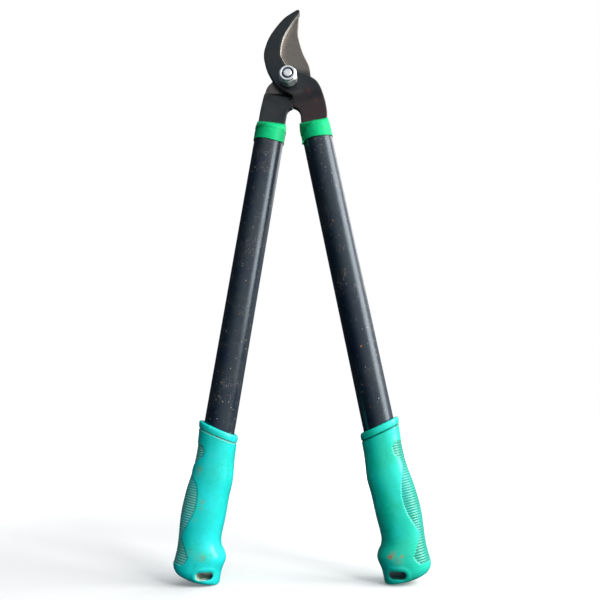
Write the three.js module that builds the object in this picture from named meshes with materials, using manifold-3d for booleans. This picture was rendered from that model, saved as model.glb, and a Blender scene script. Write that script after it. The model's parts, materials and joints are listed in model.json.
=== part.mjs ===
// Bypass loppers, closed. Millimetres; X to the right, Y to the back, Z up towards the blade tips.
// The origin is on the floor under the middle of the two grips, and the cutting plane is y = 0.
import * as THREE from 'three';
import { mergeVertices } from 'three/addons/utils/BufferGeometryUtils.js';
import Module from 'manifold-3d';

const wasm = await Module();
wasm.setup();

// ---------------------------------------------------------------- driving dimensions

const GAP = 0.3;                       // clearance between neighbouring pieces
const PIVOT = { x: -3, z: 461.08 };    // pivot axis, which runs along Y
const LEAN = THREE.MathUtils.degToRad(9.9);  // each closed handle leans this far from upright

const HOOK_THICKNESS = 6;
const BLADE_THICKNESS = 5;
const SHANK_HALF_WIDTH = 13;
const STOP_X = 3.25;                   // closing stop, measured from the pivot

const BOLT_RADIUS = 5;
const WASHER_RADIUS = 8.6;
const WASHER_THICKNESS = 1.5;
const NUT_ACROSS_FLATS = 17;
const NUT_HEX_HEIGHT = 7.6;
const NUT_HEIGHT = 10;
const NUT_COLLAR_RADIUS = 7.8;
const BOLT_HEAD_HEIGHT = 6.4;

// Places along a handle are distances up its axis from its foot.
const TUBE_RADIUS = 14;
const TUBE_WALL = 1.5;
const TUBE_BOTTOM = 25.6;
const TUBE_TOP = 419.5;
const TANG_BOTTOM = 360;
const TANG_HALF_WIDTH = 11.7;
const RIVET_HEIGHT = 413;
const RIVET_RADIUS = 2.5;
const PACKING_BOTTOM = 396;
const PACKING_TOP = 424.5;
const TAPE_BOTTOM = 407;
const TAPE_TOP = 426;
const TAPE_THICKNESS = 0.45;

const GRIP_BOTTOM = 4.8;
const GRIP_END_INNER = 18.6;           // the grip's end face reaches this far inwards from the axis
const GRIP_TOP = 133.6;
const GRIP_BORE_BOTTOM = 23;
const GRIP_SLANT = 0.25;               // rise of the grip's upper end for each mm outwards
const GROOVE_HEIGHT = 127;             // groove below the grip's collar
const GROOVE_DEPTH = 0.9;
const POMMEL_HALF_DEPTH = 18.65;
const SLOT = { height: 12.4, offset: -11.4, length: 13.4, width: 6 };  // hang slot

const ROUND = 32;                      // facets round a tube or a bore

// The foot of a handle's axis, so high that the inner corner of the grip's end touches the floor.
const FOOT = {
  x: 93.6,
  z: GRIP_END_INNER * Math.sin(LEAN) - GRIP_BOTTOM * Math.cos(LEAN),
};

// ---------------------------------------------------------------- materials

const material = (name, color, roughness, metalness) =>
  new THREE.MeshStandardMaterial({ name, color, roughness, metalness });

const MATERIALS = {
  hookSteel: material('hook_steel', 0x2f3335, 0.5, 0.8),
  bladeSteel: material('blade_steel', 0x6f6862, 0.4, 0.9),
  zinc: material('zinc', 0xc9ced4, 0.25, 1),
  nylon: material('nylon', 0x1d2f55, 0.5, 0),
  paint: material('tube_paint', 0x15181d, 0.3, 0.3),
  grip: material('grip_pvc', 0x0fc4ae, 0.5, 0),
  tape: material('tape', 0x0ac66f, 0.4, 0),
  rivet: material('rivet_steel', 0x8a8d90, 0.4, 0.9),
  packing: material('packing_wood', 0xa9825a, 0.8, 0),
  plug: material('plug_plastic', 0x24262a, 0.6, 0),
};

// ---------------------------------------------------------------- geometry helpers

// A closed three.js geometry as a solid that can be joined and cut.
function toSolid(geometry) {
  const bare = geometry.clone();
  bare.deleteAttribute('normal');
  bare.deleteAttribute('uv');
  const merged = mergeVertices(bare, 1e-4);
  const mesh = new wasm.Mesh({
    numProp: 3,
    vertProperties: new Float32Array(merged.attributes.position.array),
    triVerts: new Uint32Array(merged.index.array),
  });
  return new wasm.Manifold(mesh);
}

function toGeometry(solid) {
  const mesh = solid.getMesh();
  const geometry = new THREE.BufferGeometry();
  geometry.setAttribute('position', new THREE.BufferAttribute(new Float32Array(mesh.vertProperties), 3));
  geometry.setIndex(new THREE.BufferAttribute(new Uint32Array(mesh.triVerts), 1));
  const faceted = geometry.toNonIndexed();
  faceted.computeVertexNormals();
  return faceted;
}

function piece(name, finish, geometry) {
  const mesh = new THREE.Mesh(geometry, finish.clone());
  mesh.name = name;
  return mesh;
}

// A cylinder along Y between two depths, centred on (x, z).
function cylinderAlongY(radius, from, to, x = 0, z = 0, facets = ROUND) {
  const geometry = new THREE.CylinderGeometry(radius, radius, to - from, facets);
  return toSolid(geometry.translate(x, (from + to) / 2, z));
}

// An outline in the XZ plane as a prism between two depths.
function prismAlongY(outline, from, to, curveSegments = 3) {
  const geometry = new THREE.ExtrudeGeometry(outline, {
    depth: to - from,
    bevelEnabled: false,
    curveSegments,
  });
  return toSolid(geometry.rotateX(Math.PI / 2).translate(0, to, 0));
}

// A solid of revolution about Y from [radius, y] corners, which close on themselves.
function turnedAboutY(corners) {
  const profile = corners.map(([radius, y]) => new THREE.Vector2(radius, y));
  if (THREE.ShapeUtils.isClockWise(profile)) profile.reverse();
  return toSolid(new THREE.LatheGeometry([...profile, profile[0]], ROUND));
}

// The same about Z, from [radius, z] corners.
function turnedAboutZ(corners) {
  const profile = corners.map(([radius, z]) => new THREE.Vector2(radius, z));
  if (THREE.ShapeUtils.isClockWise(profile)) profile.reverse();
  return toSolid(new THREE.LatheGeometry([...profile, profile[0]], ROUND).rotateX(Math.PI / 2));
}

// A skin through closed sections, each an array of the same number of points, with flat ends.
function loft(sections) {
  const count = sections[0].length;
  const points = sections.flat();
  const index = [];
  for (let level = 0; level + 1 < sections.length; level += 1) {
    for (let i = 0; i < count; i += 1) {
      const a = level * count + i;
      const b = level * count + (i + 1) % count;
      index.push(a, b, b + count, a, b + count, a + count);
    }
  }
  const last = (sections.length - 1) * count;
  for (let i = 1; i + 1 < count; i += 1) {
    index.push(0, i + 1, i);
    index.push(last, last + i, last + i + 1);
  }
  const geometry = new THREE.BufferGeometry().setFromPoints(points);
  geometry.setIndex(index);
  return geometry;
}

// A section between a circle or oval (power 2) and a rectangle (a high power), at a height.
function ovalSection({ height, halfWidth, halfDepth, power = 2, centre = 0, slant = 0 }) {
  const rounded = (value) => Math.sign(value) * Math.abs(value) ** (2 / power);
  return Array.from({ length: ROUND }, (_, i) => {
    const angle = (2 * Math.PI * i) / ROUND;
    const x = centre + halfWidth * rounded(Math.cos(angle));
    return new THREE.Vector3(x, halfDepth * rounded(Math.sin(angle)), height + slant * x);
  });
}

// A smooth value through [position, value] knots in rising order, flat beyond both ends.
function smoothThrough(knots, position) {
  const last = knots.length - 1;
  if (position <= knots[0][0]) return knots[0][1];
  if (position >= knots[last][0]) return knots[last][1];
  const i = knots.findIndex(([at]) => at > position) - 1;
  const rate = (k) => {
    const before = knots[Math.max(k - 1, 0)];
    const after = knots[Math.min(k + 1, last)];
    return (after[1] - before[1]) / (after[0] - before[0]);
  };
  const span = knots[i + 1][0] - knots[i][0];
  const t = (position - knots[i][0]) / span;
  const rise = knots[i + 1][1] - knots[i][1];
  const bend = (1 - t) * (rate(i) * span - rise) + t * (rise - rate(i + 1) * span);
  return knots[i][1] + t * rise + t * (1 - t) * bend;
}

// A geometry turned into its left-hand twin.
function mirrored(geometry) {
  const twin = geometry.clone().scale(-1, 1, 1);
  const place = twin.attributes.position;
  for (let i = 0; i < place.count; i += 3) {
    const second = new THREE.Vector3().fromBufferAttribute(place, i + 1);
    const third = new THREE.Vector3().fromBufferAttribute(place, i + 2);
    place.setXYZ(i + 1, third.x, third.y, third.z);
    place.setXYZ(i + 2, second.x, second.y, second.z);
  }
  twin.computeVertexNormals();
  return twin;
}

// ---------------------------------------------------------------- head: shared layout

// Depths of the faces in the head. The hook lies in front, the cutting blade behind it.
const HOOK_BACK = -GAP / 2;
const HOOK_FRONT = HOOK_BACK - HOOK_THICKNESS;
const BLADE_FRONT = GAP / 2;
const BLADE_BACK = BLADE_FRONT + BLADE_THICKNESS;

// A place on a handle (side 1 right, -1 left), seen from the pivot as [x, z]:
// height is up the handle's axis, and outwards is square to it.
function fromPivot(side, height, outwards) {
  const reach = outwards * Math.cos(LEAN) - height * Math.sin(LEAN);
  const rise = height * Math.cos(LEAN) + outwards * Math.sin(LEAN);
  return [side * (FOOT.x + reach) - PIVOT.x, FOOT.z + rise - PIVOT.z];
}

const points2 = (list) => list.map(([x, z]) => new THREE.Vector2(x, z));

// The flat tang that goes down inside the tube, from its inner shoulder round to its outer one.
function tangCorners(side) {
  const w = TANG_HALF_WIDTH;
  const shoulder = TUBE_TOP + 2;
  return [
    fromPivot(side, shoulder, -SHANK_HALF_WIDTH),
    fromPivot(side, TUBE_TOP + 1, -w),
    fromPivot(side, TANG_BOTTOM + 3, -w),
    fromPivot(side, TANG_BOTTOM, 3 - w),
    fromPivot(side, TANG_BOTTOM, w - 3),
    fromPivot(side, TANG_BOTTOM + 3, w),
    fromPivot(side, TUBE_TOP + 1, w),
    fromPivot(side, shoulder, SHANK_HALF_WIDTH),
  ];
}

// A plate whose front and back faces step sideways below the pivot.
// Each face is a list of [distance below the pivot along the handle, depth].
function joggledPlate(side, front, back) {
  const section = new THREE.Shape(points2([...front, ...back.slice().reverse()]));
  const width = 240;
  const geometry = new THREE.ExtrudeGeometry(section, { depth: width, bevelEnabled: false });
  geometry.translate(0, 0, -width / 2).rotateY(Math.PI / 2).rotateY(-side * LEAN);
  return toSolid(geometry);
}

// An arm of the head: its outline cut from the joggled plate, with pivot and rivet holes.
function armSolid(side, outline, plate) {
  const [rivetX, rivetZ] = fromPivot(side, RIVET_HEIGHT, 0);
  return prismAlongY(outline, -20, 20)
    .intersect(plate)
    .subtract(cylinderAlongY(BOLT_RADIUS + GAP, -20, 20))
    .subtract(cylinderAlongY(RIVET_RADIUS + GAP, -20, 20, rivetX, rivetZ, 24));
}

function atPivot(name, finish, geometry) {
  const mesh = piece(name, finish, geometry);
  mesh.position.set(PIVOT.x, 0, PIVOT.z);
  return mesh;
}

// ---------------------------------------------------------------- counter blade, the right arm

function counterBlade() {
  const outline = new THREE.Shape();
  outline.moveTo(9.6, 74);
  outline.splineThru(points2([[-4, 65.4], [-16.6, 49.3], [-22.5, 35.5], [-23.9, 25], [-21.4, 12.5],
    [-16.4, 1.2]]));
  outline.splineThru(points2([[-11.8, -6], [-6.8, -10.6], [-2, -13.6], [STOP_X + GAP / 2, -17]]));
  outline.lineTo(STOP_X + GAP / 2, -27.5);
  outline.quadraticCurveTo(9.6, -28.6, 10.9, -36);
  tangCorners(1).forEach(([x, z]) => outline.lineTo(x, z));
  outline.lineTo(...fromPivot(1, TAPE_TOP, SHANK_HALF_WIDTH));
  outline.splineThru(points2([[36.4, -32], [33.7, -17.5], [27.6, -3.6], [17.6, 4.1], [8.3, 7.7]]));
  outline.splineThru(points2([[-0.2, 13.1], [-5.4, 21.6], [-7.2, 29], [-4.4, 44.2], [3.8, 59],
    [11.3, 69.8]]));
  outline.quadraticCurveTo(12.2, 73.6, 9.6, 74);
  const front = [[-100, HOOK_FRONT], [15.5, HOOK_FRONT], [24.9, -HOOK_THICKNESS / 2],
    [120, -HOOK_THICKNESS / 2]];
  const back = [[-100, HOOK_BACK], [19, HOOK_BACK], [22.5, HOOK_THICKNESS / 2],
    [120, HOOK_THICKNESS / 2]];
  const solid = armSolid(1, outline, joggledPlate(1, front, back));
  return atPivot('counter_blade', MATERIALS.hookSteel, toGeometry(solid));
}

// ---------------------------------------------------------------- cutting blade, the left arm

const BEVEL_WIDTH = 8;
const EDGE_THICKNESS = 0.4;

// The convex cutting edge, from the tip down to the heel.
const cuttingEdge = new THREE.SplineCurve(points2(
  [[11.8, 73], [2.4, 64.3], [-6.4, 52], [-11.6, 39], [-13, 27], [-12.4, 15]]));

// The wedge ground off the back of the blade along its edge.
function bevelCutter() {
  const beyond = 1.5;
  const slope = (BLADE_THICKNESS - EDGE_THICKNESS) / BEVEL_WIDTH;
  const edgeDepth = BLADE_FRONT + EDGE_THICKNESS;
  const steps = 20;
  const sections = [];
  for (let i = 0; i <= steps; i += 1) {
    const along = cuttingEdge.getTangentAt(i / steps);
    const overrun = i === 0 ? beyond : 0;
    const at = cuttingEdge.getPointAt(i / steps).addScaledVector(along, -overrun);
    const corner = (inwards, depth) =>
      new THREE.Vector3(at.x - along.y * inwards, depth, at.y + along.x * inwards);
    sections.push([
      corner(-beyond, BLADE_BACK + slope * beyond),
      corner(BEVEL_WIDTH + beyond, BLADE_BACK + slope * beyond),
      corner(-beyond, edgeDepth - slope * beyond),
    ]);
  }
  return toSolid(loft(sections));
}

function cuttingBlade() {
  const outline = new THREE.Shape();
  outline.moveTo(11.8, 73);
  outline.splineThru(cuttingEdge.points.slice(1));
  outline.splineThru(points2([[-12.6, 8], [-16.6, 1.4], [-20.4, -2.6], [-23.2, -8.6], [-27.3, -25],
    [-28.9, -33]]));
  outline.lineTo(...fromPivot(-1, TAPE_TOP, SHANK_HALF_WIDTH));
  tangCorners(-1).reverse().forEach(([x, z]) => outline.lineTo(x, z));
  outline.lineTo(-3.1, -36);
  outline.quadraticCurveTo(-2.2, -29.4, STOP_X - GAP / 2, -28.4);
  outline.lineTo(STOP_X - GAP / 2, -20);
  outline.quadraticCurveTo(-0.9, -19.9, -1, -18.1);
  outline.splineThru(points2([[3.2, -17.8], [6.2, -16.4], [10.4, -13.2], [15.5, -8.6], [20.3, -0.5],
    [21.4, 6.2]]));
  outline.splineThru(points2([[20, 16], [14.2, 30.6], [10.3, 46], [9.7, 56], [11.8, 73]]));
  const front = [[-100, BLADE_FRONT], [14.2, BLADE_FRONT], [16.6, -BLADE_THICKNESS / 2],
    [120, -BLADE_THICKNESS / 2]];
  const back = [[-100, BLADE_BACK], [14.2, BLADE_BACK], [16.6, BLADE_THICKNESS / 2],
    [120, BLADE_THICKNESS / 2]];
  // The heel of the hook turns inside this shallow round relief, next to the stop.
  const heelRelief = cylinderAlongY(4.8, -20, BLADE_FRONT + 0.2, STOP_X, -15.6);
  const solid = armSolid(-1, outline, joggledPlate(-1, front, back))
    .subtract(bevelCutter())
    .subtract(heelRelief);
  return atPivot('cutting_blade', MATERIALS.bladeSteel, toGeometry(solid));
}

// ---------------------------------------------------------------- pivot bolt, nut and washers

const NUT_WASHER_BACK = HOOK_FRONT - GAP;
const NUT_BACK = NUT_WASHER_BACK - WASHER_THICKNESS - GAP;
const NUT_FRONT = NUT_BACK - NUT_HEIGHT;
const HEAD_WASHER_FRONT = BLADE_BACK + GAP;
const HEAD_FRONT = HEAD_WASHER_FRONT + WASHER_THICKNESS + GAP;
const BOLT_END = NUT_FRONT - 0.4;      // the bolt just shows beyond the nut

// A hexagonal prism with corners up and down.
function hexagon(acrossFlats, from, to) {
  const geometry = new THREE.CylinderGeometry(acrossFlats / Math.sqrt(3), acrossFlats / Math.sqrt(3),
    to - from, 6);
  return toSolid(geometry.translate(0, (from + to) / 2, 0));
}

function washer(name, from) {
  const solid = cylinderAlongY(WASHER_RADIUS, from, from + WASHER_THICKNESS)
    .subtract(cylinderAlongY(BOLT_RADIUS + GAP, from - 1, from + WASHER_THICKNESS + 1));
  return atPivot(name, MATERIALS.zinc, toGeometry(solid));
}

function pivotBolt() {
  const headBack = HEAD_FRONT + BOLT_HEAD_HEIGHT;
  const corner = NUT_ACROSS_FLATS / Math.sqrt(3);
  const head = hexagon(NUT_ACROSS_FLATS, HEAD_FRONT, headBack).intersect(turnedAboutY([
    [0, HEAD_FRONT - 1], [corner + 1, HEAD_FRONT - 1], [corner + 1, headBack - 1.6],
    [corner - 1.8, headBack], [0, headBack],
  ]));
  const shank = turnedAboutY([
    [0, HEAD_FRONT + 1], [BOLT_RADIUS, HEAD_FRONT + 1], [BOLT_RADIUS, BOLT_END + 0.8],
    [BOLT_RADIUS - 0.8, BOLT_END], [0, BOLT_END],
  ]);
  return atPivot('pivot_bolt', MATERIALS.zinc, toGeometry(head.add(shank)));
}

// The lock nut: a hexagon with a round collar whose lip holds the nylon ring.
const RING_POCKET = { radius: 6.9, depth: 3.4, lip: 0.7, mouth: 6 };

function pivotNut() {
  const collarBack = NUT_BACK - NUT_HEX_HEIGHT;
  const pocketBack = NUT_FRONT + RING_POCKET.depth;
  const corner = NUT_ACROSS_FLATS / Math.sqrt(3);
  const hex = hexagon(NUT_ACROSS_FLATS, collarBack, NUT_BACK).intersect(turnedAboutY([
    [0, NUT_BACK], [corner - 0.9, NUT_BACK], [corner, NUT_BACK - 0.6], [corner, collarBack + 0.9],
    [corner - 1.3, collarBack], [0, collarBack],
  ]));
  const collar = turnedAboutY([
    [0, collarBack + 0.5], [NUT_COLLAR_RADIUS, collarBack + 0.5], [NUT_COLLAR_RADIUS, NUT_FRONT + 1],
    [NUT_COLLAR_RADIUS - 0.8, NUT_FRONT], [0, NUT_FRONT],
  ]);
  const pocket = cylinderAlongY(RING_POCKET.radius, NUT_FRONT + RING_POCKET.lip, pocketBack);
  const solid = hex.add(collar)
    .subtract(pocket)
    .subtract(cylinderAlongY(RING_POCKET.mouth, NUT_FRONT - 1, NUT_FRONT + 1))
    .subtract(cylinderAlongY(BOLT_RADIUS + GAP, NUT_FRONT - 1, NUT_BACK + 1));
  return atPivot('pivot_nut', MATERIALS.zinc, toGeometry(solid));
}

function nylonRing() {
  const from = NUT_FRONT + RING_POCKET.lip + GAP;
  const to = NUT_FRONT + RING_POCKET.depth - GAP;
  const solid = cylinderAlongY(RING_POCKET.radius - GAP, from, to)
    .subtract(cylinderAlongY(BOLT_RADIUS + GAP, from - 1, to + 1));
  return atPivot('nut_nylon_ring', MATERIALS.nylon, toGeometry(solid));
}

// ---------------------------------------------------------------- handle pieces, on the handle's axis

const BORE_RADIUS = TUBE_RADIUS - TUBE_WALL;
const rivetHole = () => cylinderAlongY(RIVET_RADIUS + GAP, -20, 20, 0, RIVET_HEIGHT, 24);

function tubeGeometry() {
  const wall = turnedAboutZ([
    [BORE_RADIUS, TUBE_BOTTOM], [TUBE_RADIUS, TUBE_BOTTOM], [TUBE_RADIUS, TUBE_TOP],
    [BORE_RADIUS, TUBE_TOP],
  ]);
  return toGeometry(wall.subtract(rivetHole()));
}

// A plastic plug with a rim that covers the tube's cut lower end.
function plugGeometry() {
  const rimBottom = GRIP_BORE_BOTTOM + GAP;
  const rimTop = TUBE_BOTTOM - GAP;
  const radius = BORE_RADIUS - GAP;
  return toGeometry(turnedAboutZ([
    [0, rimBottom], [TUBE_RADIUS, rimBottom], [TUBE_RADIUS, rimTop], [radius, rimTop],
    [radius, rimTop + 10], [radius - 2, rimTop + 12], [radius - 3, rimTop + 12],
    [radius - 3, rimTop + 1], [0, rimTop + 1],
  ]));
}

function rivetGeometry() {
  const end = TUBE_RADIUS - 0.5;
  return toGeometry(cylinderAlongY(RIVET_RADIUS, -end, end, 0, RIVET_HEIGHT, 24));
}

// One half-round packing piece: it fills the bore beside the flat tang and tapers up to the shank.
function packingGeometry(face, plateThickness) {
  const seat = TUBE_TOP + GAP;
  const stem = turnedAboutZ([
    [0, PACKING_BOTTOM], [BORE_RADIUS - GAP, PACKING_BOTTOM], [BORE_RADIUS - GAP, seat + 0.5],
    [0, seat + 0.5],
  ]);
  const shoulder = toSolid(loft([
    ovalSection({ height: seat, halfWidth: 13.3, halfDepth: 13.3 }),
    ovalSection({ height: PACKING_TOP, halfWidth: 12.6, halfDepth: plateThickness / 2 + 2, power: 4 }),
  ]));
  const depth = 30;
  const half = new THREE.BoxGeometry(40, depth, 60)
    .translate(0, face * (depth / 2 + plateThickness / 2 + GAP), (PACKING_BOTTOM + PACKING_TOP) / 2);
  return toGeometry(stem.add(shoulder).intersect(toSolid(half)).subtract(rivetHole()));
}

// Tape wound round the tube's mouth and up on to the flat shank.
function tapeGeometry(plateThickness) {
  const layer = (clear, overrun) => {
    const round = TUBE_RADIUS + clear;
    const sections = [
      { height: TAPE_BOTTOM - overrun, halfWidth: round, halfDepth: round },
      { height: TUBE_TOP, halfWidth: round, halfDepth: round },
      {
        height: TAPE_TOP + overrun,
        halfWidth: SHANK_HALF_WIDTH + clear,
        halfDepth: plateThickness / 2 + clear,
        power: 16,
      },
    ];
    return toSolid(loft(sections.map(ovalSection)));
  };
  return toGeometry(layer(GAP + TAPE_THICKNESS, 0).subtract(layer(GAP, 0.01)));
}

// ---------------------------------------------------------------- grip

// Distances from the tube's axis to the grip's outline and front face, as [height, distance].
const GRIP_OUTER = [
  [GRIP_BOTTOM, -2], [5.4, 4], [6.9, 10], [8.6, 14.4], [11.6, 17.4], [15, 18.9], [20, 19.1], [28, 18.6],
  [37, 19], [56, 20.6], [75, 19.6], [85, 18.1], [94, 16.8], [106, 16.3], [120, 16.8], [GRIP_TOP, 18.2],
];
const GRIP_INNER = [
  [GRIP_BOTTOM, GRIP_END_INNER], [5.4, 21.8], [6.9, 22.5], [11.6, 22.5], [17, 22.8], [26, 24.5],
  [31, 22.7], [36, 19.2], [42, 17.7], [62, 18.4], [80, 18.6], [95, 19.5], [115, 17.8], [GRIP_TOP, 17.3],
];
const GRIP_DEPTH = [
  [GRIP_BOTTOM, 10], [5.4, 12.6], [6.9, 15], [9.6, 17], [14, 18.2], [26, POMMEL_HALF_DEPTH],
  [40, 17.4], [60, 17.6], [90, 16.8], [110, 16.4], [GRIP_TOP, 17.4],
];

function gripSection(height, inset = 0) {
  const outer = smoothThrough(GRIP_OUTER, height) - inset;
  const inner = smoothThrough(GRIP_INNER, height) - inset;
  return ovalSection({
    height,
    halfWidth: (outer + inner) / 2,
    halfDepth: smoothThrough(GRIP_DEPTH, height) - inset,
    power: 2.3,
    centre: (outer - inner) / 2,
    slant: GRIP_SLANT * THREE.MathUtils.smoothstep(height, 30, 115),
  });
}

// The hang slot: a rounded slot through the pommel, level when the handle leans.
function slotCutter() {
  const half = (SLOT.length - SLOT.width) / 2;
  const outline = new THREE.Shape();
  outline.absarc(half, 0, SLOT.width / 2, -Math.PI / 2, Math.PI / 2);
  outline.absarc(-half, 0, SLOT.width / 2, Math.PI / 2, (3 * Math.PI) / 2);
  const geometry = new THREE.ExtrudeGeometry(outline, { depth: 60, bevelEnabled: false, curveSegments: 6 });
  geometry.rotateX(Math.PI / 2).translate(0, 30, 0).rotateY(LEAN);
  return toSolid(geometry.translate(SLOT.offset, 0, SLOT.height));
}

function gripGeometry() {
  const heights = [
    GRIP_BOTTOM, 5.4, 6.9, 9.2, 13, 18, 23, 26, 29, 32, 35, 38, 43, 50, 60, 70, 80, 90, 100, 110, 119,
    GROOVE_HEIGHT - 1,
  ];
  const sections = heights.map((height) => gripSection(height));
  sections.push(gripSection(GROOVE_HEIGHT - 0.6, GROOVE_DEPTH));
  sections.push(gripSection(GROOVE_HEIGHT + 0.2, GROOVE_DEPTH));
  sections.push(gripSection(GROOVE_HEIGHT + 0.8));
  sections.push(gripSection(GRIP_TOP - 1));
  sections.push(gripSection(GRIP_TOP, 0.9));
  const bore = turnedAboutZ([
    [0, GRIP_BORE_BOTTOM], [TUBE_RADIUS + GAP, GRIP_BORE_BOTTOM], [TUBE_RADIUS + GAP, GRIP_TOP + 20],
    [0, GRIP_TOP + 20],
  ]);
  return toGeometry(toSolid(loft(sections)).subtract(bore).subtract(slotCutter()));
}

// ---------------------------------------------------------------- assembly

// Everything on one handle, built upright on its axis, then leaned and set on its foot.
function handle(side, plateThickness) {
  const word = side > 0 ? 'right' : 'left';
  const handed = (geometry) => (side > 0 ? geometry : mirrored(geometry));
  const group = new THREE.Group();
  group.position.set(side * FOOT.x, 0, FOOT.z);
  group.rotation.y = -side * LEAN;
  group.add(
    piece(`${word}_tube`, MATERIALS.paint, tubeGeometry()),
    piece(`${word}_tube_plug`, MATERIALS.plug, plugGeometry()),
    piece(`${word}_tang_rivet`, MATERIALS.rivet, rivetGeometry()),
    piece(`${word}_packing_front`, MATERIALS.packing, packingGeometry(-1, plateThickness)),
    piece(`${word}_packing_rear`, MATERIALS.packing, packingGeometry(1, plateThickness)),
    piece(`${word}_tape`, MATERIALS.tape, tapeGeometry(plateThickness)),
    piece(`${word}_grip`, MATERIALS.grip, handed(gripGeometry())),
  );
  return group;
}

const loppers = new THREE.Group();
loppers.add(
  counterBlade(),
  cuttingBlade(),
  washer('nut_washer', NUT_WASHER_BACK - WASHER_THICKNESS),
  washer('bolt_head_washer', HEAD_WASHER_FRONT),
  pivotBolt(),
  pivotNut(),
  nylonRing(),
  handle(1, HOOK_THICKNESS),
  handle(-1, BLADE_THICKNESS),
);

export default loppers;
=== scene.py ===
"""Looks for the bypass loppers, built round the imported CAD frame.

Meshes are worked out in millimetres in the row frame and scaled to metres as they are made.
Handle places are (s, q, y): s up the handle's axis from its foot, q outwards from the axis.
"""

import json
import math

import bpy
import numpy as np
from mathutils import Matrix, Vector
from mathutils.geometry import delaunay_2d_cdt


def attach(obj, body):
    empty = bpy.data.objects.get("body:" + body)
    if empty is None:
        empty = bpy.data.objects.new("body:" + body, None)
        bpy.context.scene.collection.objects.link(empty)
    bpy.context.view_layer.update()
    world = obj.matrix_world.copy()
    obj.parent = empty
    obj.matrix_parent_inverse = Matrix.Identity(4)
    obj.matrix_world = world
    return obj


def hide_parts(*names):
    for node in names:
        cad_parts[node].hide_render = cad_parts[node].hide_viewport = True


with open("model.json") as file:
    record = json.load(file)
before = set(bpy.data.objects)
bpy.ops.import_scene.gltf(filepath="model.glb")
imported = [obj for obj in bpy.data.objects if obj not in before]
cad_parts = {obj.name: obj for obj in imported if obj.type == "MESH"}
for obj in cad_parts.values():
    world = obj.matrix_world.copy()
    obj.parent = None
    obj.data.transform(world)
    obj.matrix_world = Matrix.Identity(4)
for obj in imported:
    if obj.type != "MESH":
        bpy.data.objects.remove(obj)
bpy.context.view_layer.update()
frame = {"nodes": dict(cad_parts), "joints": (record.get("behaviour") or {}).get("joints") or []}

# ---------------------------------------------------------------- driving dimensions, in millimetres

MM = 0.001
PIVOT_JOINT = frame["joints"][0]
PIVOT_X = PIVOT_JOINT["pos_m"][0] / MM
PIVOT_Z = PIVOT_JOINT["pos_m"][2] / MM
LEAN = math.radians(9.9)
SIN, COS = math.sin(LEAN), math.cos(LEAN)
GRIP_BOTTOM = 4.8
GRIP_END_INNER = 18.6
FOOT_X = 93.6
FOOT_Z = GRIP_END_INNER * SIN - GRIP_BOTTOM * COS

HOOK_FRONT, HOOK_BACK = -6.15, -0.15
BLADE_FRONT, BLADE_BACK = 0.15, 5.15
SHANK_HALF_WIDTH = 13.0
STOP_X = 3.25
GAP = 0.3
TUBE_RADIUS, TUBE_WALL = 14.0, 1.5
TUBE_BOTTOM, TUBE_TOP = 25.6, 419.5
TANG_BOTTOM, TANG_HALF_WIDTH = 360.0, 11.7
TAPE_BOTTOM, TAPE_TOP = 407.0, 426.0
GRIP_TOP = 133.6
GROOVE_HEIGHT = 127.0
SHOULDER = TUBE_TOP + 2
HOOK_SHANK_HALF, BLADE_SHANK_HALF = 3.0, 2.5
BOLT_RADIUS = 5.0
RIVET_HEIGHT, RIVET_RADIUS = 413.0, 2.5

BODY = {1: "hook_arm", -1: "blade_arm"}
WORD = {1: "right", -1: "left"}


# ---------------------------------------------------------------- small maths

def smoothstep(low, high, x):
    t = np.clip((x - low) / (high - low), 0.0, 1.0)
    return t * t * (3 - 2 * t)


def soft_ramp(x, start, end, soft):
    """Rises from 0 at start to 1 at end, with its two corners rounded over soft."""
    shifts = np.linspace(-soft, soft, 7)
    return np.mean([np.clip((x + d - start) / (end - start), 0, 1) for d in shifts], axis=0)


def bell(x, centre, width):
    return np.exp(-((x - centre) / width) ** 2)


HASH_PRIMES = (73856093, 19349663, 83492791)
HASH_SEED, HASH_MIX = 2654435761, 1274126177


def lattice(cells, seed):
    """A random value for each whole-number cell of an array of 3-D cells."""
    x, y, z = (cells[..., k].astype(np.int64) * HASH_PRIMES[k] for k in range(3))
    h = x ^ y ^ z ^ (seed * HASH_SEED)
    h = (h ^ (h >> 13)) * HASH_MIX
    return ((h ^ (h >> 16)) & 0xFFFF) / 65535.0


def value_noise(points, size, seed):
    """Smooth noise from -1 to 1 at an array of 3-D points, with features about size across."""
    p = np.asarray(points, float) / size
    base = np.floor(p)
    t = p - base
    t = t * t * (3 - 2 * t)
    total = 0.0
    for corner in np.ndindex(2, 2, 2):
        corner = np.array(corner)
        weight = np.prod(np.where(corner == 1, t, 1 - t), axis=-1)
        total = total + weight * lattice(base + corner, seed)
    return 2 * total - 1


def spline(points, step=0.7):
    """Catmull-Rom curve through 2-D points, with a point about every step."""
    p = np.asarray(points, float)
    out = []
    for i in range(len(p) - 1):
        p0, p1, p2, p3 = p[max(i - 1, 0)], p[i], p[i + 1], p[min(i + 2, len(p) - 1)]
        v0, v1 = (p2 - p0) / 2, (p3 - p1) / 2
        count = max(2, int(np.linalg.norm(p2 - p1) / step))
        t = (np.arange(count) / count)[:, None]
        cubic, square = 2 * p1 - 2 * p2 + v0 + v1, -3 * p1 + 3 * p2 - 2 * v0 - v1
        out.append(cubic * t**3 + square * t**2 + v0 * t + p1)
    return np.vstack(out + [p[-1:]])


def line(a, b, step=0.7):
    a, b = np.asarray(a, float), np.asarray(b, float)
    count = max(1, int(np.linalg.norm(b - a) / step))
    return a + (b - a) * np.linspace(0, 1, count + 1)[:, None]


def quad(a, control, b, count=12):
    a, control, b = (np.asarray(v, float) for v in (a, control, b))
    t = np.linspace(0, 1, count)[:, None]
    return (1 - t) ** 2 * a + 2 * t * (1 - t) * control + t**2 * b


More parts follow.
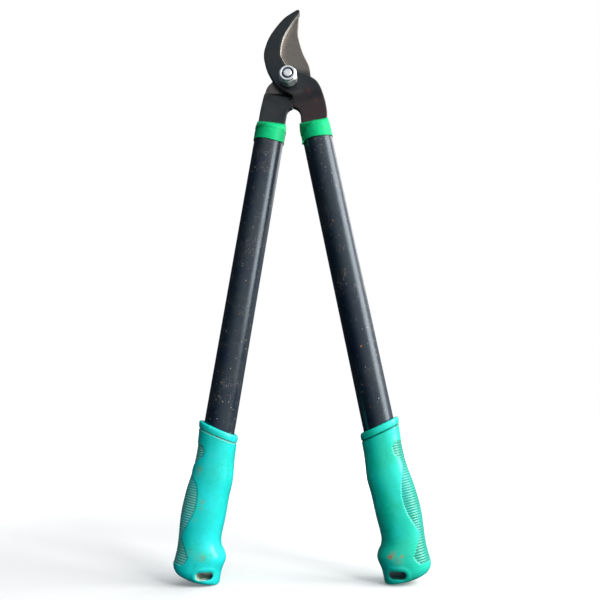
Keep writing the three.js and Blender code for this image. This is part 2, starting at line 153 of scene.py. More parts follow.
def joined(*parts, tolerance=0.05):
    """One closed outline from stretches that follow each other, without repeated points."""
    points = np.vstack(parts)
    keep = [points[0]]
    for p in points[1:]:
        if np.linalg.norm(p - keep[-1]) > tolerance:
            keep.append(p)
    while np.linalg.norm(keep[-1] - keep[0]) <= tolerance:
        keep.pop()
    return np.array(keep)


def through_knots(knots, x):
    """A smooth value through [position, value] knots, flat beyond both ends."""
    k = np.asarray(knots, float)
    at, value = k[:, 0], k[:, 1]
    x = np.clip(np.asarray(x, float), at[0], at[-1])
    last = len(at) - 1
    i = np.clip(np.searchsorted(at, x, side="right") - 1, 0, last - 1)
    before, after = np.maximum(np.arange(last + 1) - 1, 0), np.minimum(np.arange(last + 1) + 1, last)
    rate = (value[after] - value[before]) / (at[after] - at[before])
    span = at[i + 1] - at[i]
    t = (x - at[i]) / span
    rise = value[i + 1] - value[i]
    bend = (1 - t) * (rate[i] * span - rise) + t * (rise - rate[i + 1] * span)
    return value[i] + t * rise + t * (1 - t) * bend


def distance_to(points, path, closed=True):
    """The distance of each 2-D point from a polyline."""
    a = path if closed else path[:-1]
    b = np.roll(path, -1, axis=0) if closed else path[1:]
    best = np.full(len(points), 1e9)
    chunk = 64
    for start in range(0, len(a), chunk):
        p0, d = a[start:start + chunk], (b - a)[start:start + chunk]
        rel = points[:, None] - p0
        t = np.clip((rel * d).sum(2) / np.maximum((d * d).sum(1), 1e-12), 0, 1)
        best = np.minimum(best, np.linalg.norm(rel - t[..., None] * d, axis=2).min(1))
    return best


def inside(points, outline):
    x, y = points[:, 0][:, None], points[:, 1][:, None]
    ax, ay = outline[:, 0], outline[:, 1]
    bx, by = np.roll(ax, -1), np.roll(ay, -1)
    crosses = (ay > y) != (by > y)
    with np.errstate(divide="ignore", invalid="ignore"):
        hit = x < (bx - ax) * (y - ay) / (by - ay) + ax
    return (crosses & hit).sum(1) % 2 == 1


# ---------------------------------------------------------------- places

def on_handle(side, s, q, y):
    """Row-frame millimetres of a place on a handle; side is 1 for the right, -1 for the left."""
    s, q, y = np.broadcast_arrays(s, q, y)
    return np.stack([side * (FOOT_X + q * COS - s * SIN), y, FOOT_Z + s * COS + q * SIN], axis=-1)


def handle_place(side, points):
    """The (s, q) of row-frame points on a handle."""
    out = side * points[..., 0] - FOOT_X
    up = points[..., 2] - FOOT_Z
    return up * COS - out * SIN, out * COS + up * SIN


def from_pivot(side, s, q):
    """A place on a handle as seen from the pivot, (x, z)."""
    return on_handle(side, s, q, 0.0)[[0, 2]] - np.array([PIVOT_X, PIVOT_Z])


def at_pivot(points):
    return points + np.array([PIVOT_X, 0.0, PIVOT_Z])


# ---------------------------------------------------------------- meshes

def make_object(name, points, faces, materials, body, replaces=(), face_material=None, sharp=35):
    mesh = bpy.data.meshes.new(name)
    mesh.from_pydata((np.asarray(points) * MM).tolist(), [], [list(map(int, f)) for f in faces])
    mesh.validate()
    obj = bpy.data.objects.new(name, mesh)
    bpy.context.scene.collection.objects.link(obj)
    for m in materials:
        mesh.materials.append(m)
    if face_material is not None:
        mesh.polygons.foreach_set("material_index", np.asarray(face_material, np.int32))
    finish_shading(mesh, sharp)
    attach(obj, body)
    if replaces:
        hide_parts(*replaces)
    return obj


def finish_shading(mesh, sharp):
    mesh.polygons.foreach_set("use_smooth", [True] * len(mesh.polygons))
    mesh.set_sharp_from_angle(angle=math.radians(sharp))
    mesh.update()


def mesh_points(mesh):
    """The mesh's vertices in millimetres."""
    co = np.zeros(len(mesh.vertices) * 3)
    mesh.vertices.foreach_get("co", co)
    return co.reshape(-1, 3) / MM


def paint(mesh, name, values):
    """A number for each vertex, which a material reads by name."""
    attribute = mesh.attributes.new(name, "FLOAT", "POINT")
    attribute.data.foreach_set("value", np.asarray(values, np.float32))


def grid_faces(rows, columns, wrap_columns=True, wrap_rows=False, flip=False):
    faces = []
    for r in range(rows if wrap_rows else rows - 1):
        below, above = r * columns, ((r + 1) % rows) * columns
        for c in range(columns if wrap_columns else columns - 1):
            d = (c + 1) % columns
            face = (below + c, below + d, above + d, above + c)
            faces.append(face[::-1] if flip else face)
    return faces


def turned(profile, facets=96, radius_of=None):
    """A closed profile of [radius, height] corners turned about Z. radius_of may change each radius."""
    profile = np.asarray(profile, float)
    angle = np.arange(facets) * 2 * math.pi / facets
    radius = np.repeat(profile[:, :1], facets, axis=1)
    height = np.repeat(profile[:, 1:], facets, axis=1)
    if radius_of is not None:
        radius = radius_of(radius, height, angle)
    points = np.stack([radius * np.cos(angle), radius * np.sin(angle), height], axis=-1)
    return points.reshape(-1, 3), grid_faces(len(profile), facets, wrap_rows=True)


def rounded_profile(corners, radius, steps=5):
    """A closed [radius, height] outline with each corner rounded off."""
    c = np.asarray(corners, float)
    out = []
    for i, corner in enumerate(c):
        before, after = c[i - 1] - corner, c[(i + 1) % len(c)] - corner
        reach = min(radius, np.linalg.norm(before) * 0.45, np.linalg.norm(after) * 0.45)
        a = corner + before / np.linalg.norm(before) * reach
        b = corner + after / np.linalg.norm(after) * reach
        out.append(quad(a, corner, b, steps))
    return np.vstack(out)


def y_axis(points):
    """Points turned about Z, laid down so that their axis points along +Y."""
    return np.stack([points[:, 0], points[:, 2], -points[:, 1]], axis=-1)


def on_bolt_axis(name, points, faces, material, node, sharp=35):
    """A turned piece laid along the pivot's axis, in the place of a CAD node."""
    placed = at_pivot(y_axis(points))
    make_object(name, placed, faces, [material], BODY[1], [node], sharp=sharp)


# ---------------------------------------------------------------- plates of the head

def circle(x, z, radius):
    """A ring of points, close enough together to look round."""
    angles = np.linspace(0, 2 * math.pi, max(24, int(9 * radius)), endpoint=False)
    return np.array([[x + radius * math.cos(a), z + radius * math.sin(a)] for a in angles])


def plate_mesh(outline, holes, front_of, back_of, round_front, round_back, grid=1.7):
    """A closed plate: front_of and back_of give the depth of its faces at (x, z),
    and both rims are rounded over the radii that round_front and round_back give there."""
    loops = [outline] + [circle(*hole) for hole in holes]
    starts = np.cumsum([0] + [len(loop) for loop in loops[:-1]])
    rims = np.vstack(loops)
    edges = [(int(start) + i, int(start) + (i + 1) % len(loop))
             for start, loop in zip(starts, loops) for i in range(len(loop))]

    def clearance(p):
        return np.min([distance_to(p, loop) for loop in loops], axis=0)

    def on_plate(p):
        ok = inside(p, outline)
        for cx, cz, r in holes:
            ok &= np.hypot(p[:, 0] - cx, p[:, 1] - cz) > r
        return ok

    extra = []
    ring_shares = (0.14, 0.45, 1.0)
    widest = np.maximum(round_front(rims), round_back(rims))
    for start, loop in zip(starts, loops):
        along = np.roll(loop, -1, axis=0) - np.roll(loop, 1, axis=0)
        normal = np.stack([along[:, 1], -along[:, 0]], axis=1)
        normal /= np.linalg.norm(normal, axis=1)[:, None]
        size = widest[start:start + len(loop)]
        for sign in (1, -1):
            for share in ring_shares:
                ring = loop + sign * normal * (size * share)[:, None]
                ok = on_plate(ring) & (clearance(ring) > 0.93 * size * share)
                extra.append(ring[ok])
    low, high = outline.min(0), outline.max(0)
    gx, gz = np.meshgrid(np.arange(low[0], high[0], grid), np.arange(low[1], high[1], grid * 0.87))
    gx[1::2] += grid / 2
    inner = np.stack([gx.ravel(), gz.ravel()], axis=1)
    inner = inner[on_plate(inner)]
    inner = inner[clearance(inner) > widest.max() + 0.45 * grid]
    flat = np.vstack([rims] + extra + [inner])
    points, _, triangles, *_ = delaunay_2d_cdt([Vector(p) for p in flat], edges, [], 0, 1e-5, False)
    points = np.array([list(p) for p in points])
    triangles = np.array([t for t in triangles if len(t) == 3])
    centre = points[triangles].mean(1)
    triangles = triangles[on_plate(centre)]
    a, b, c = (points[triangles[:, k]] for k in range(3))
    area = (b[:, 0] - a[:, 0]) * (c[:, 1] - a[:, 1]) - (b[:, 1] - a[:, 1]) * (c[:, 0] - a[:, 0])
    triangles[area < 0] = triangles[area < 0][:, ::-1]
    used = np.unique(triangles)
    renumber = np.full(len(points), -1)
    renumber[used] = np.arange(len(used))
    points, triangles = points[used], renumber[triangles]

    depth = clearance(points)

    def rounding(radius):
        inset = np.clip(radius - depth, 0, radius)
        return radius - np.sqrt(np.maximum(radius**2 - inset**2, 0))

    front = front_of(points) + rounding(round_front(points))
    back = back_of(points) - rounding(round_back(points))
    count = len(points)
    vertices = np.vstack([
        np.stack([points[:, 0], front, points[:, 1]], axis=1),
        np.stack([points[:, 0], back, points[:, 1]], axis=1),
    ])
    directed = dict.fromkeys((t[i], t[(i + 1) % 3]) for t in triangles for i in range(3))
    rim_edges = [(u, v) for (u, v) in directed if (v, u) not in directed]
    faces = [tuple(t) for t in triangles] + [tuple(t[::-1] + count) for t in triangles]
    walls = [(u, u + count, v + count, v) for u, v in rim_edges]
    return vertices, faces + walls, len(faces), np.tile(depth, 2)


def tang_outline(side):
    """Down the shank's inner shoulder, round the tang's foot and up to the outer shoulder."""
    w = TANG_HALF_WIDTH
    half = [(SHOULDER, SHANK_HALF_WIDTH), (TUBE_TOP + 1, w), (TANG_BOTTOM + 3, w), (TANG_BOTTOM, w - 3)]
    corners = [(s, -q) for s, q in half] + half[::-1]
    places = [from_pivot(side, s, q) for s, q in corners]
    return np.vstack([line(a, b, 2.0) for a, b in zip(places, places[1:])])


def below_pivot(side, p):
    """How far below the pivot a point lies, measured along the handle."""
    return side * SIN * p[:, 0] - COS * p[:, 1]


def arm_holes(side):
    """The bolt's hole and the rivet's, each (x, z, radius) from the pivot."""
    return [(0.0, 0.0, BOLT_RADIUS + GAP), (*from_pivot(side, RIVET_HEIGHT, 0.0), RIVET_RADIUS + GAP)]


# Outlines of the blades, as (x, z) from the pivot.
HOOK_STOP_TOP, HOOK_STOP_FOOT = [STOP_X + GAP / 2, -17], [STOP_X + GAP / 2, -27.5]
HOOK_CROTCH = [10.9, -36]
HOOK_OUTER = [[9.2, 74.3], [-4, 65.4], [-16.6, 49.3], [-22.5, 35.5], [-23.9, 25], [-21.4, 12.5],
              [-16.4, 1.2]]
HOOK_HEEL = [[-16.4, 1.2], [-11.8, -6], [-6.8, -10.6], [-2, -13.6], HOOK_STOP_TOP]
HOOK_SHOULDER = [[36.4, -32], [33.7, -17.5], [27.6, -3.6], [17.6, 4.1], [8.3, 7.7]]
HOOK_INNER = [[8.3, 7.7], [-0.2, 13.1], [-5.4, 21.6], [-7.2, 29], [-4.4, 44.2], [3.8, 59], [12.1, 70.4]]
hook_inner_edge = spline(HOOK_INNER, 0.45)
SPOTS_OF_RUST = [(18.6, -13.6, 3.1), (26.5, -23.0, 3.2), (25, -36, 1.6)]


# How far below the pivot each face's step to the shank starts and ends, and how soft its corners are.
HOOK_STEP_FRONT, HOOK_STEP_BACK = (15.5, 24.9, 1.3), (19, 22.5, 0.7)
BLADE_STEP_FRONT, BLADE_STEP_BACK = (14.2, 16.6, 0.8), (14.2, 16.6, 0.45)


def counter_blade(material, ground_material):
    top_of_shank = from_pivot(1, TAPE_TOP, SHANK_HALF_WIDTH)
    outline = joined(
        spline(HOOK_OUTER), spline(HOOK_HEEL), line(HOOK_STOP_TOP, HOOK_STOP_FOOT),
        quad(HOOK_STOP_FOOT, [9.6, -28.6], HOOK_CROTCH),
        line(HOOK_CROTCH, from_pivot(1, SHOULDER, -SHANK_HALF_WIDTH)), tang_outline(1),
        spline(np.vstack([[top_of_shank], HOOK_SHOULDER])), hook_inner_edge,
        quad(HOOK_INNER[-1], [13.0, 75.2], HOOK_OUTER[0]))

    def near_cutting(p):
        """1 along the stretch of the inner edge that is finished on a grinding wheel, 0 elsewhere."""
        near = 1 - smoothstep(1.2, 2.4, distance_to(p, hook_inner_edge, closed=False))
        return near * smoothstep(10, 17, p[:, 1]) * (1 - smoothstep(71, 73.5, p[:, 1]))

    def front(p):
        crown = 0.35 * smoothstep(6, 22, np.hypot(p[:, 0], p[:, 1])) * smoothstep(0, 10, p[:, 1])
        step = soft_ramp(below_pivot(1, p), *HOOK_STEP_FRONT)
        return HOOK_FRONT + crown + (-HOOK_SHANK_HALF - HOOK_FRONT) * step

    def back(p):
        step = soft_ramp(below_pivot(1, p), *HOOK_STEP_BACK)
        return HOOK_BACK + (HOOK_SHANK_HALF - HOOK_BACK) * step

    def round_front(p):
        return 0.85 - 0.60 * near_cutting(p)

    def round_back(p):
        return 0.7 - 0.5 * near_cutting(p)

    vertices, faces, walls, depth = plate_mesh(outline, arm_holes(1), front, back, round_front, round_back)
    flat = vertices[:, [0, 2]]
    wall_centres = np.array([flat[list(f)].mean(0) for f in faces[walls:]])
    kinds = np.concatenate([np.zeros(walls), near_cutting(wall_centres) > 0.5])
    rim_share = near_cutting(flat) * (1 - smoothstep(0.2, 0.4, depth))
    kinds[:walls] = [rim_share[list(f)].min() > 0.3 for f in faces[:walls]]
    obj = make_object("counter_blade_forged", at_pivot(vertices), faces, [material, ground_material],
                      BODY[1], ["counter_blade"], kinds, sharp=50)
    # Painted highlight: a faint band of the lighter brushed tone along the top of the front face's step to the shank.
    joggle_highlight = bell(below_pivot(1, flat), HOOK_STEP_FRONT[0], 2.4) * 0.16 * (1 - smoothstep(10, 17, flat[:, 0]))
    worn = 0.30 * (1 - smoothstep(0.1, 0.5, depth)) * (0.5 + 0.5 * value_noise(vertices, 4, 5))
    paint(obj.data, "ground_and_highlight", np.clip(joggle_highlight + worn, 0, 1))
    # A reddish tint over the lower shank, put in through the rust attribute: partly rust, partly a painted sheen that
    # lightens the shank.
    shank_rust_and_sheen = 0.45 * (1 - smoothstep(-34, -6, flat[:, 1]))
    paint(obj.data, "rust", np.maximum(rust_of(vertices, SPOTS_OF_RUST), shank_rust_and_sheen))
    # Painted shade: the bright edge strip goes darker towards the hook's tip.
    paint(obj.data, "painted_tip_shade", 0.85 * smoothstep(46, 69, flat[:, 1]))


def rust_of(points, spots):
    """How rusty each point is, from (x, z, size) spots with ragged borders."""
    total = np.zeros(len(points))
    wobble = value_noise(points, 2.4, 11)
    for x, z, size in spots:
        distance = np.hypot(points[:, 0] - x, points[:, 2] - z)
        total = np.maximum(total, np.exp(-(distance / (size * (1 + 0.45 * wobble))) ** 2))
    return total


BLADE_EDGE = [[11.8, 73], [2.4, 64.3], [-6.4, 52], [-11.6, 39], [-13, 27], [-12.4, 15]]
BLADE_HEEL = [[-12.4, 15], [-12.6, 8], [-16.6, 1.4], [-20.4, -2.6], [-23.2, -8.6], [-27.3, -25],
              [-28.9, -33]]
BLADE_STOP_TOP, BLADE_STOP_FOOT = [STOP_X - GAP / 2, -18], [STOP_X - GAP / 2, -28.4]
BLADE_CROTCH = [-3.1, -36]
BLADE_ROUND = [[3.2, -17.8], [6.2, -16.4], [10.4, -13.2], [15.5, -8.6], [20.3, -0.5], [21.4, 6.2]]
BLADE_SPINE = [[21.4, 6.2], [20, 16], [14.2, 30.6], [10.3, 46], [9.7, 56], [11.8, 73]]
BEVEL_WIDTH = 8.0
EDGE_THICKNESS = 0.4
RELIEF_CENTRE = [STOP_X, -15.6]
RELIEF_INNER, RELIEF_OUTER = 4.3, 4.8
RELIEF_DEPTH = 0.2
blade_edge = spline(BLADE_EDGE)


def cutting_blade(material, ground_material):
    outline = joined(
        blade_edge, spline(BLADE_HEEL), line(BLADE_HEEL[-1], from_pivot(-1, TAPE_TOP, SHANK_HALF_WIDTH)),
        tang_outline(-1)[::-1], line(from_pivot(-1, SHOULDER, -SHANK_HALF_WIDTH), BLADE_CROTCH),
        quad(BLADE_CROTCH, [-2.2, -29.4], BLADE_STOP_FOOT), line(BLADE_STOP_FOOT, BLADE_STOP_TOP),
        spline(BLADE_ROUND), spline(BLADE_SPINE))

    def edge_share(p):
        return 1 - smoothstep(0.0, 1.5, distance_to(p, blade_edge, closed=False))

    def front(p):
        ramp = soft_ramp(below_pivot(-1, p), *BLADE_STEP_FRONT)
        face = BLADE_FRONT + (-BLADE_SHANK_HALF - BLADE_FRONT) * ramp
        from_relief = np.hypot(p[:, 0] - RELIEF_CENTRE[0], p[:, 1] - RELIEF_CENTRE[1])
        in_relief = 1 - smoothstep(RELIEF_INNER, RELIEF_OUTER, from_relief)
        return face + in_relief * np.maximum(BLADE_FRONT + RELIEF_DEPTH - face, 0)

    def back(p):
        ramp = soft_ramp(below_pivot(-1, p), *BLADE_STEP_BACK)
        from_edge = distance_to(p, blade_edge, closed=False)
        wedge = (BLADE_BACK - BLADE_FRONT - EDGE_THICKNESS) * np.clip(1 - from_edge / BEVEL_WIDTH, 0, 1)
        return BLADE_BACK + (BLADE_SHANK_HALF - BLADE_BACK) * ramp - wedge

    def rounding(p):
        return 0.55 - 0.42 * edge_share(p)

    vertices, faces, walls, _ = plate_mesh(outline, arm_holes(-1), front, back, rounding, rounding, 1.4)
    flat = vertices[:, [0, 2]]
    from_edge = distance_to(flat, blade_edge, closed=False)
    is_back = np.arange(len(vertices)) >= len(vertices) // 2
    on_bevel = is_back & (from_edge < BEVEL_WIDTH + 0.2) & (flat[:, 1] > 12)
    kinds = [int(on_bevel[list(f)].all()) for f in faces[:walls]] + [0] * (len(faces) - walls)
    obj = make_object("cutting_blade_ground", at_pivot(vertices), faces, [material, ground_material],
                      BODY[-1], ["cutting_blade"], kinds, sharp=40)
    above = smoothstep(11.0, 19.5, flat[:, 1] + 0.32 * flat[:, 0] + 1.2 * value_noise(vertices, 6, 3))
    shoulder = 0.42 * smoothstep(-15.5, -9, flat[:, 1]) * (1 - smoothstep(-8, -1, flat[:, 0]))
    # Painted highlight: the blade's brushed face is made lighter next to the hook's inner edge.
    highlight_beside_hook = np.exp(-(distance_to(flat, hook_inner_edge, closed=False) / 2.6) ** 2)
    paint(obj.data, "ground_and_highlight", np.clip((0.62 + 0.38 * highlight_beside_hook) * above + shoulder * (1 - above), 0, 1))
    spots = [(17, 20, 2.5), (-16, -32, 4), (-13, -7, 4)]
    paint(obj.data, "rust", 0.3 * rust_of(vertices, spots))


# ---------------------------------------------------------------- pivot bolt, nut and washers

NUT_ACROSS_FLATS = 17.0
NUT_BACK, NUT_FRONT = -8.25, -18.25
NUT_HEX_HEIGHT = 7.6
COLLAR_RADIUS = 7.8
WASHER_RADIUS, WASHER_THICKNESS = 8.6, 1.5
NUT_WASHER_FRONT, HEAD_WASHER_FRONT = -7.95, 5.45
HEAD_FRONT, HEAD_BACK = 7.25, 13.65
BOLT_END = -18.65
THREAD_PITCH = 1.5
CORNER = NUT_ACROSS_FLATS / math.sqrt(3)
CORNER_ROUND = 0.35
BEYOND = CORNER + 0.2    # a radius outside the hexagon, where the hexagon itself sets the shape
BORE = BOLT_RADIUS + 0.1
NUT_FACETS, BOLT_FACETS = 180, 144


def hex_radius(angle):
    """The radius of a nut's hexagon with softly rounded corners, one of them pointing down."""
    turn = np.mod(angle + math.pi / 6, math.pi / 3) - math.pi / 6
    straight = NUT_ACROSS_FLATS / 2 / np.cos(turn)
    limit = CORNER - CORNER_ROUND
    soft = 0.12
    return -soft * np.log(np.exp(-straight / soft) + np.exp(-limit / soft))


def nut_pieces(zinc, nylon):
    """A hexagon nut with a round collar in front, and the nylon ring that the collar holds."""
    hex_front = NUT_BACK - NUT_HEX_HEIGHT
    profile = np.vstack([
        line([BORE, NUT_BACK], [CORNER - 1.0, NUT_BACK], 0.5),
        quad([CORNER - 1.0, NUT_BACK], [CORNER - 0.1, NUT_BACK - 0.1], [BEYOND, NUT_BACK - 0.75], 6)[1:],
        line([BEYOND, NUT_BACK - 0.9], [BEYOND, hex_front + 2.2], 0.5),
        quad([BEYOND, hex_front + 2.1], [CORNER - 0.7, hex_front + 0.9], [8.25, hex_front + 0.1], 9),
        quad([8.15, hex_front], [COLLAR_RADIUS, hex_front - 0.15], [COLLAR_RADIUS, hex_front - 0.6], 5),
        line([COLLAR_RADIUS, hex_front - 0.8], [COLLAR_RADIUS, NUT_FRONT + 1.0], 0.4),
        quad([COLLAR_RADIUS, NUT_FRONT + 0.95], [COLLAR_RADIUS - 0.05, NUT_FRONT + 0.08],
             [7.0, NUT_FRONT], 10)[1:],
        quad([6.2, NUT_FRONT], [5.65, NUT_FRONT + 0.02], [5.6, NUT_FRONT + 0.5], 6),
        line([5.6, NUT_FRONT + 0.7], [5.6, NUT_FRONT + 1.1], 0.5),
        line([6.6, NUT_FRONT + 1.15], [6.6, NUT_FRONT + 3.4], 1.0),
        line([BORE, NUT_FRONT + 3.45], [BORE, NUT_BACK - 0.2], 1.0),
    ])

    def held_in_hexagon(radius, _, angle):
        return np.minimum(radius, hex_radius(angle))

    points, faces = turned(profile, NUT_FACETS, held_in_hexagon)
    on_bolt_axis("lock_nut", points, faces, zinc, "pivot_nut", sharp=32)
    ring_front = NUT_FRONT + 1.25
    ring_back = ring_front + 1.9
    ring = [[4.1, ring_front], [6.45, ring_front], [6.45, ring_back], [BORE, ring_back], [4.3, ring_front + 1.1]]
    points, faces = turned(rounded_profile(ring, 0.25, 4))
    on_bolt_axis("nylon_insert", points, faces, nylon, "nut_nylon_ring")


def bolt(zinc):
    """A hexagon head behind, and a thread that ends in a chamfered point inside the nut."""
    thread_from, thread_to = BOLT_END + 0.2, -6.0
    thread_depth = 0.75
    point_radius, point_length, chamfer = 3.9, 2.5, 0.9

    def thread(radius, height, angle):
        phase = np.mod(height / THREAD_PITCH - angle / (2 * math.pi), 1.0)
        crest = 1 - np.abs(2 * phase - 1)
        depth = thread_depth * smoothstep(0.15, 0.85, crest)
        threaded = (height > thread_from) & (height < thread_to) & (radius > 4.9)
        end = np.clip((height - BOLT_END - point_length) / chamfer, 0, 1)
        cut = np.where(threaded, radius - depth, radius)
        reach = point_radius + (BOLT_RADIUS - point_radius) * end
        return np.where(radius > point_radius, np.minimum(cut, reach), radius)

    def shape(radius, height, angle):
        in_head = height > HEAD_FRONT - 0.05
        return np.where(in_head, np.minimum(radius, hex_radius(angle)), thread(radius, height, angle))

    profile = np.vstack([
        [[0.02, BOLT_END + 0.12], [1.6, BOLT_END + 0.1]],
        quad([2.4, BOLT_END + 0.1], [3.5, BOLT_END + 0.1], [point_radius - 0.02, BOLT_END + 0.55], 6),
        line([BOLT_RADIUS, BOLT_END + 0.7], [BOLT_RADIUS, thread_to], 0.12),
        line([BOLT_RADIUS, thread_to + 0.3], [BOLT_RADIUS, HEAD_FRONT - 0.1], 2.0),
        line([BOLT_RADIUS + 0.4, HEAD_FRONT], [7.9, HEAD_FRONT], 0.6),
        line([8.1, HEAD_FRONT + 0.3], [BEYOND, HEAD_FRONT + 0.35], 0.4),
        line([BEYOND, HEAD_FRONT + 0.6], [BEYOND, HEAD_BACK - 1.7], 0.5),
        quad([BEYOND, HEAD_BACK - 1.5], [CORNER - 0.7, HEAD_BACK - 0.6], [CORNER - 2.0, HEAD_BACK], 10),
        line([CORNER - 2.4, HEAD_BACK], [3.2, HEAD_BACK], 0.8),
        [[2.6, HEAD_BACK - 0.05], [0.02, HEAD_BACK - 0.25]],
    ])
    points, faces = turned(profile, BOLT_FACETS, shape)
    last = len(points) - BOLT_FACETS
    faces = faces[:-BOLT_FACETS]
    faces += [tuple(range(BOLT_FACETS))[::-1], tuple(range(last, len(points)))]
    on_bolt_axis("pivot_bolt_threaded", points, faces, zinc, "pivot_bolt", sharp=32)


def washers(zinc):
    inner = BOLT_RADIUS + GAP
    for name, node, front in (("washer_under_nut", "nut_washer", NUT_WASHER_FRONT),
                              ("washer_under_head", "bolt_head_washer", HEAD_WASHER_FRONT)):
        back = front + WASHER_THICKNESS
        corners = [[inner, front], [WASHER_RADIUS, front], [WASHER_RADIUS, back], [inner, back]]
        points, faces = turned(rounded_profile(corners, 0.35, 5))
        on_bolt_axis(name, points, faces, zinc, node)


# ---------------------------------------------------------------- tubes and tape

def tube(side, material):
    """A steel tube with eased rims, and a faint unevenness along its length."""
    bore, ease = TUBE_RADIUS - TUBE_WALL, 0.4
    stations = np.linspace(TUBE_BOTTOM + 0.6, TUBE_TOP - 0.6, 140)
    outside = np.stack([np.full(len(stations), TUBE_RADIUS), stations], axis=1)
    profile = np.vstack([
        [[bore, TUBE_BOTTOM + ease], [bore + ease, TUBE_BOTTOM], [TUBE_RADIUS - ease, TUBE_BOTTOM]], outside,
        [[TUBE_RADIUS - ease, TUBE_TOP], [bore + ease, TUBE_TOP], [bore, TUBE_TOP - ease]]])
    points, faces = turned(profile)
    wave = 0.035 * value_noise(points + side * 50, np.array([16.0, 16.0, 60.0]), 21)
    reach = np.hypot(points[:, 0], points[:, 1])
    scale = 1 + np.where(reach > TUBE_RADIUS - 0.1, wave / TUBE_RADIUS, 0)
    placed = on_handle(side, points[:, 2], points[:, 0] * scale, points[:, 1] * scale)
    if side < 0:
        faces = [f[::-1] for f in faces]
    make_object(f"{WORD[side]}_tube_painted", placed, faces, [material], BODY[side],
                [f"{WORD[side]}_tube"])


def superellipse(angle, power):
    """A rounded rectangle of half-width 1 each way; a higher power is squarer."""
    c, s = np.cos(angle), np.sin(angle)
    return np.sign(c) * np.abs(c) ** (2 / power), np.sign(s) * np.abs(s) ** (2 / power)


def tape(side, material, plate_thickness):
    """Tape wound round the tube's mouth and up on to the flat shank, creased where it changes shape."""
    columns, rows = 220, 72
    around = np.arange(columns) * 2 * math.pi / columns
    up = np.linspace(0, 1, rows)
    front = np.clip(-np.sin(around), 0, 1)
    bottom = TAPE_BOTTOM - 2.4 * front**2 + 0.5 * np.sin(3 * around + side)
    top = TAPE_TOP + 0.25 * np.sin(2 * around + 1.3 * side)
    height = bottom + (top - bottom) * up[:, None]
    morph = soft_ramp(height, TUBE_TOP, TAPE_TOP, 0.7)
    round_x, round_y = TUBE_RADIUS * np.cos(around), TUBE_RADIUS * np.sin(around)
    flat_c, flat_s = superellipse(around, 7.0)
    flat_x, flat_y = SHANK_HALF_WIDTH * flat_c, (plate_thickness / 2 + 0.1) * flat_s

    def layer(clear):
        x = round_x * (1 - morph) + flat_x * morph
        y = round_y * (1 - morph) + flat_y * morph
        size = np.hypot(x, y)
        return x * (1 + clear / size), y * (1 + clear / size)

    place = np.stack([around * 14 + 0 * height, height, 0 * height + 40 * side], axis=-1)
    crumple = value_noise(place, np.array([5.0, 3.2, 9.0]), 31)
    fine = value_noise(place, np.array([2.2, 1.5, 9.0]), 32)
    crease = np.abs(value_noise(place + 7, np.array([9.0, 7.0, 9.0]), 33))
    wrap_line = TAPE_BOTTOM + 5.2 + 1.7 * np.sin(around + 0.8 * side) + 1.1 * around
    overlap = smoothstep(0.0, 0.35, height - wrap_line)
    free = smoothstep(0.0, 0.10, up)[:, None] * smoothstep(0.0, 0.08, 1 - up)[:, None]
    lift = (0.08 * crumple + 0.03 * fine - 0.10 * np.exp(-(crease / 0.07) ** 2)) * (0.35 + 0.65 * free)
    fold = place[..., 1] - (TAPE_TOP - 7 + 9.5 * (np.cos(around) * side + 0.1))
    lift += 0.32 * np.exp(-(fold / 0.5) ** 2) * smoothstep(0.1, 0.8, front)[None, :]
    outer_x, outer_y = layer(GAP + 0.5 + 0.22 * overlap + lift)
    inner_x, inner_y = layer(0.12 + 0 * height)
    x = np.vstack([outer_x, inner_x[::-1]])
    y = np.vstack([outer_y, inner_y[::-1]])
    s = np.vstack([height, height[::-1]])
    points = on_handle(side, s, x, y).reshape(-1, 3)
    faces = grid_faces(2 * rows, columns, wrap_rows=True, flip=side < 0)
    obj = make_object(f"{WORD[side]}_tape_wound", points, faces, [material], BODY[side],
                      [f"{WORD[side]}_tape"], sharp=60)
    # Painted shade: the tape is darker on the upper side of the diagonal fold at the front.
    fold_shade = 0.4 * smoothstep(-0.5, 0.5, fold) * smoothstep(0.1, 0.8, front)[None, :]
    paint(obj.data, "shade", np.vstack([fold_shade, fold_shade[::-1]]).ravel())


def tape_tail(material):
    """The loose, torn end of the tape that hangs from the right handle's inner lower corner."""
    columns, rows = 18, 22
    u = np.linspace(0, 1, columns)
    v = np.linspace(0, 1, rows)[:, None]
    ragged = 1 + 0.35 * value_noise(np.stack([u * 9, 0 * u, 0 * u], axis=-1), 1.0, 44)
    middle, spread, length = math.radians(203), math.radians(26), 3.6
    s = TAPE_BOTTOM + 0.2 - length * v * ragged
    angle = middle + spread * (u - 0.5) * (1 - 0.5 * v)
    reach = 15.0 + 1.5 * v**1.4 + 0.22 * np.sin(9 * u + 5 * v)
    shell = []
    for clear in (0.0, -0.22):
        out = reach + clear
        shell.append(on_handle(1, s, out * np.cos(angle), out * np.sin(angle)))
    count = rows * columns
    points = np.vstack([piece.reshape(-1, 3) for piece in shell])
    sheet = grid_faces(rows, columns, wrap_columns=False, flip=True)
    faces = sheet + [tuple(i + count for i in f[::-1]) for f in sheet]
    rim = ([(0, c) for c in range(columns)] + [(r, columns - 1) for r in range(1, rows)]
           + [(rows - 1, c) for c in range(columns - 2, -1, -1)] + [(r, 0) for r in range(rows - 2, 0, -1)])
    index = [r * columns + c for r, c in rim]
    faces += [(a, b, b + count, a + count) for a, b in zip(index, index[1:] + index[:1])]
    make_object("right_tape_torn_end", points, faces, [material], BODY[1])


# ---------------------------------------------------------------- grips

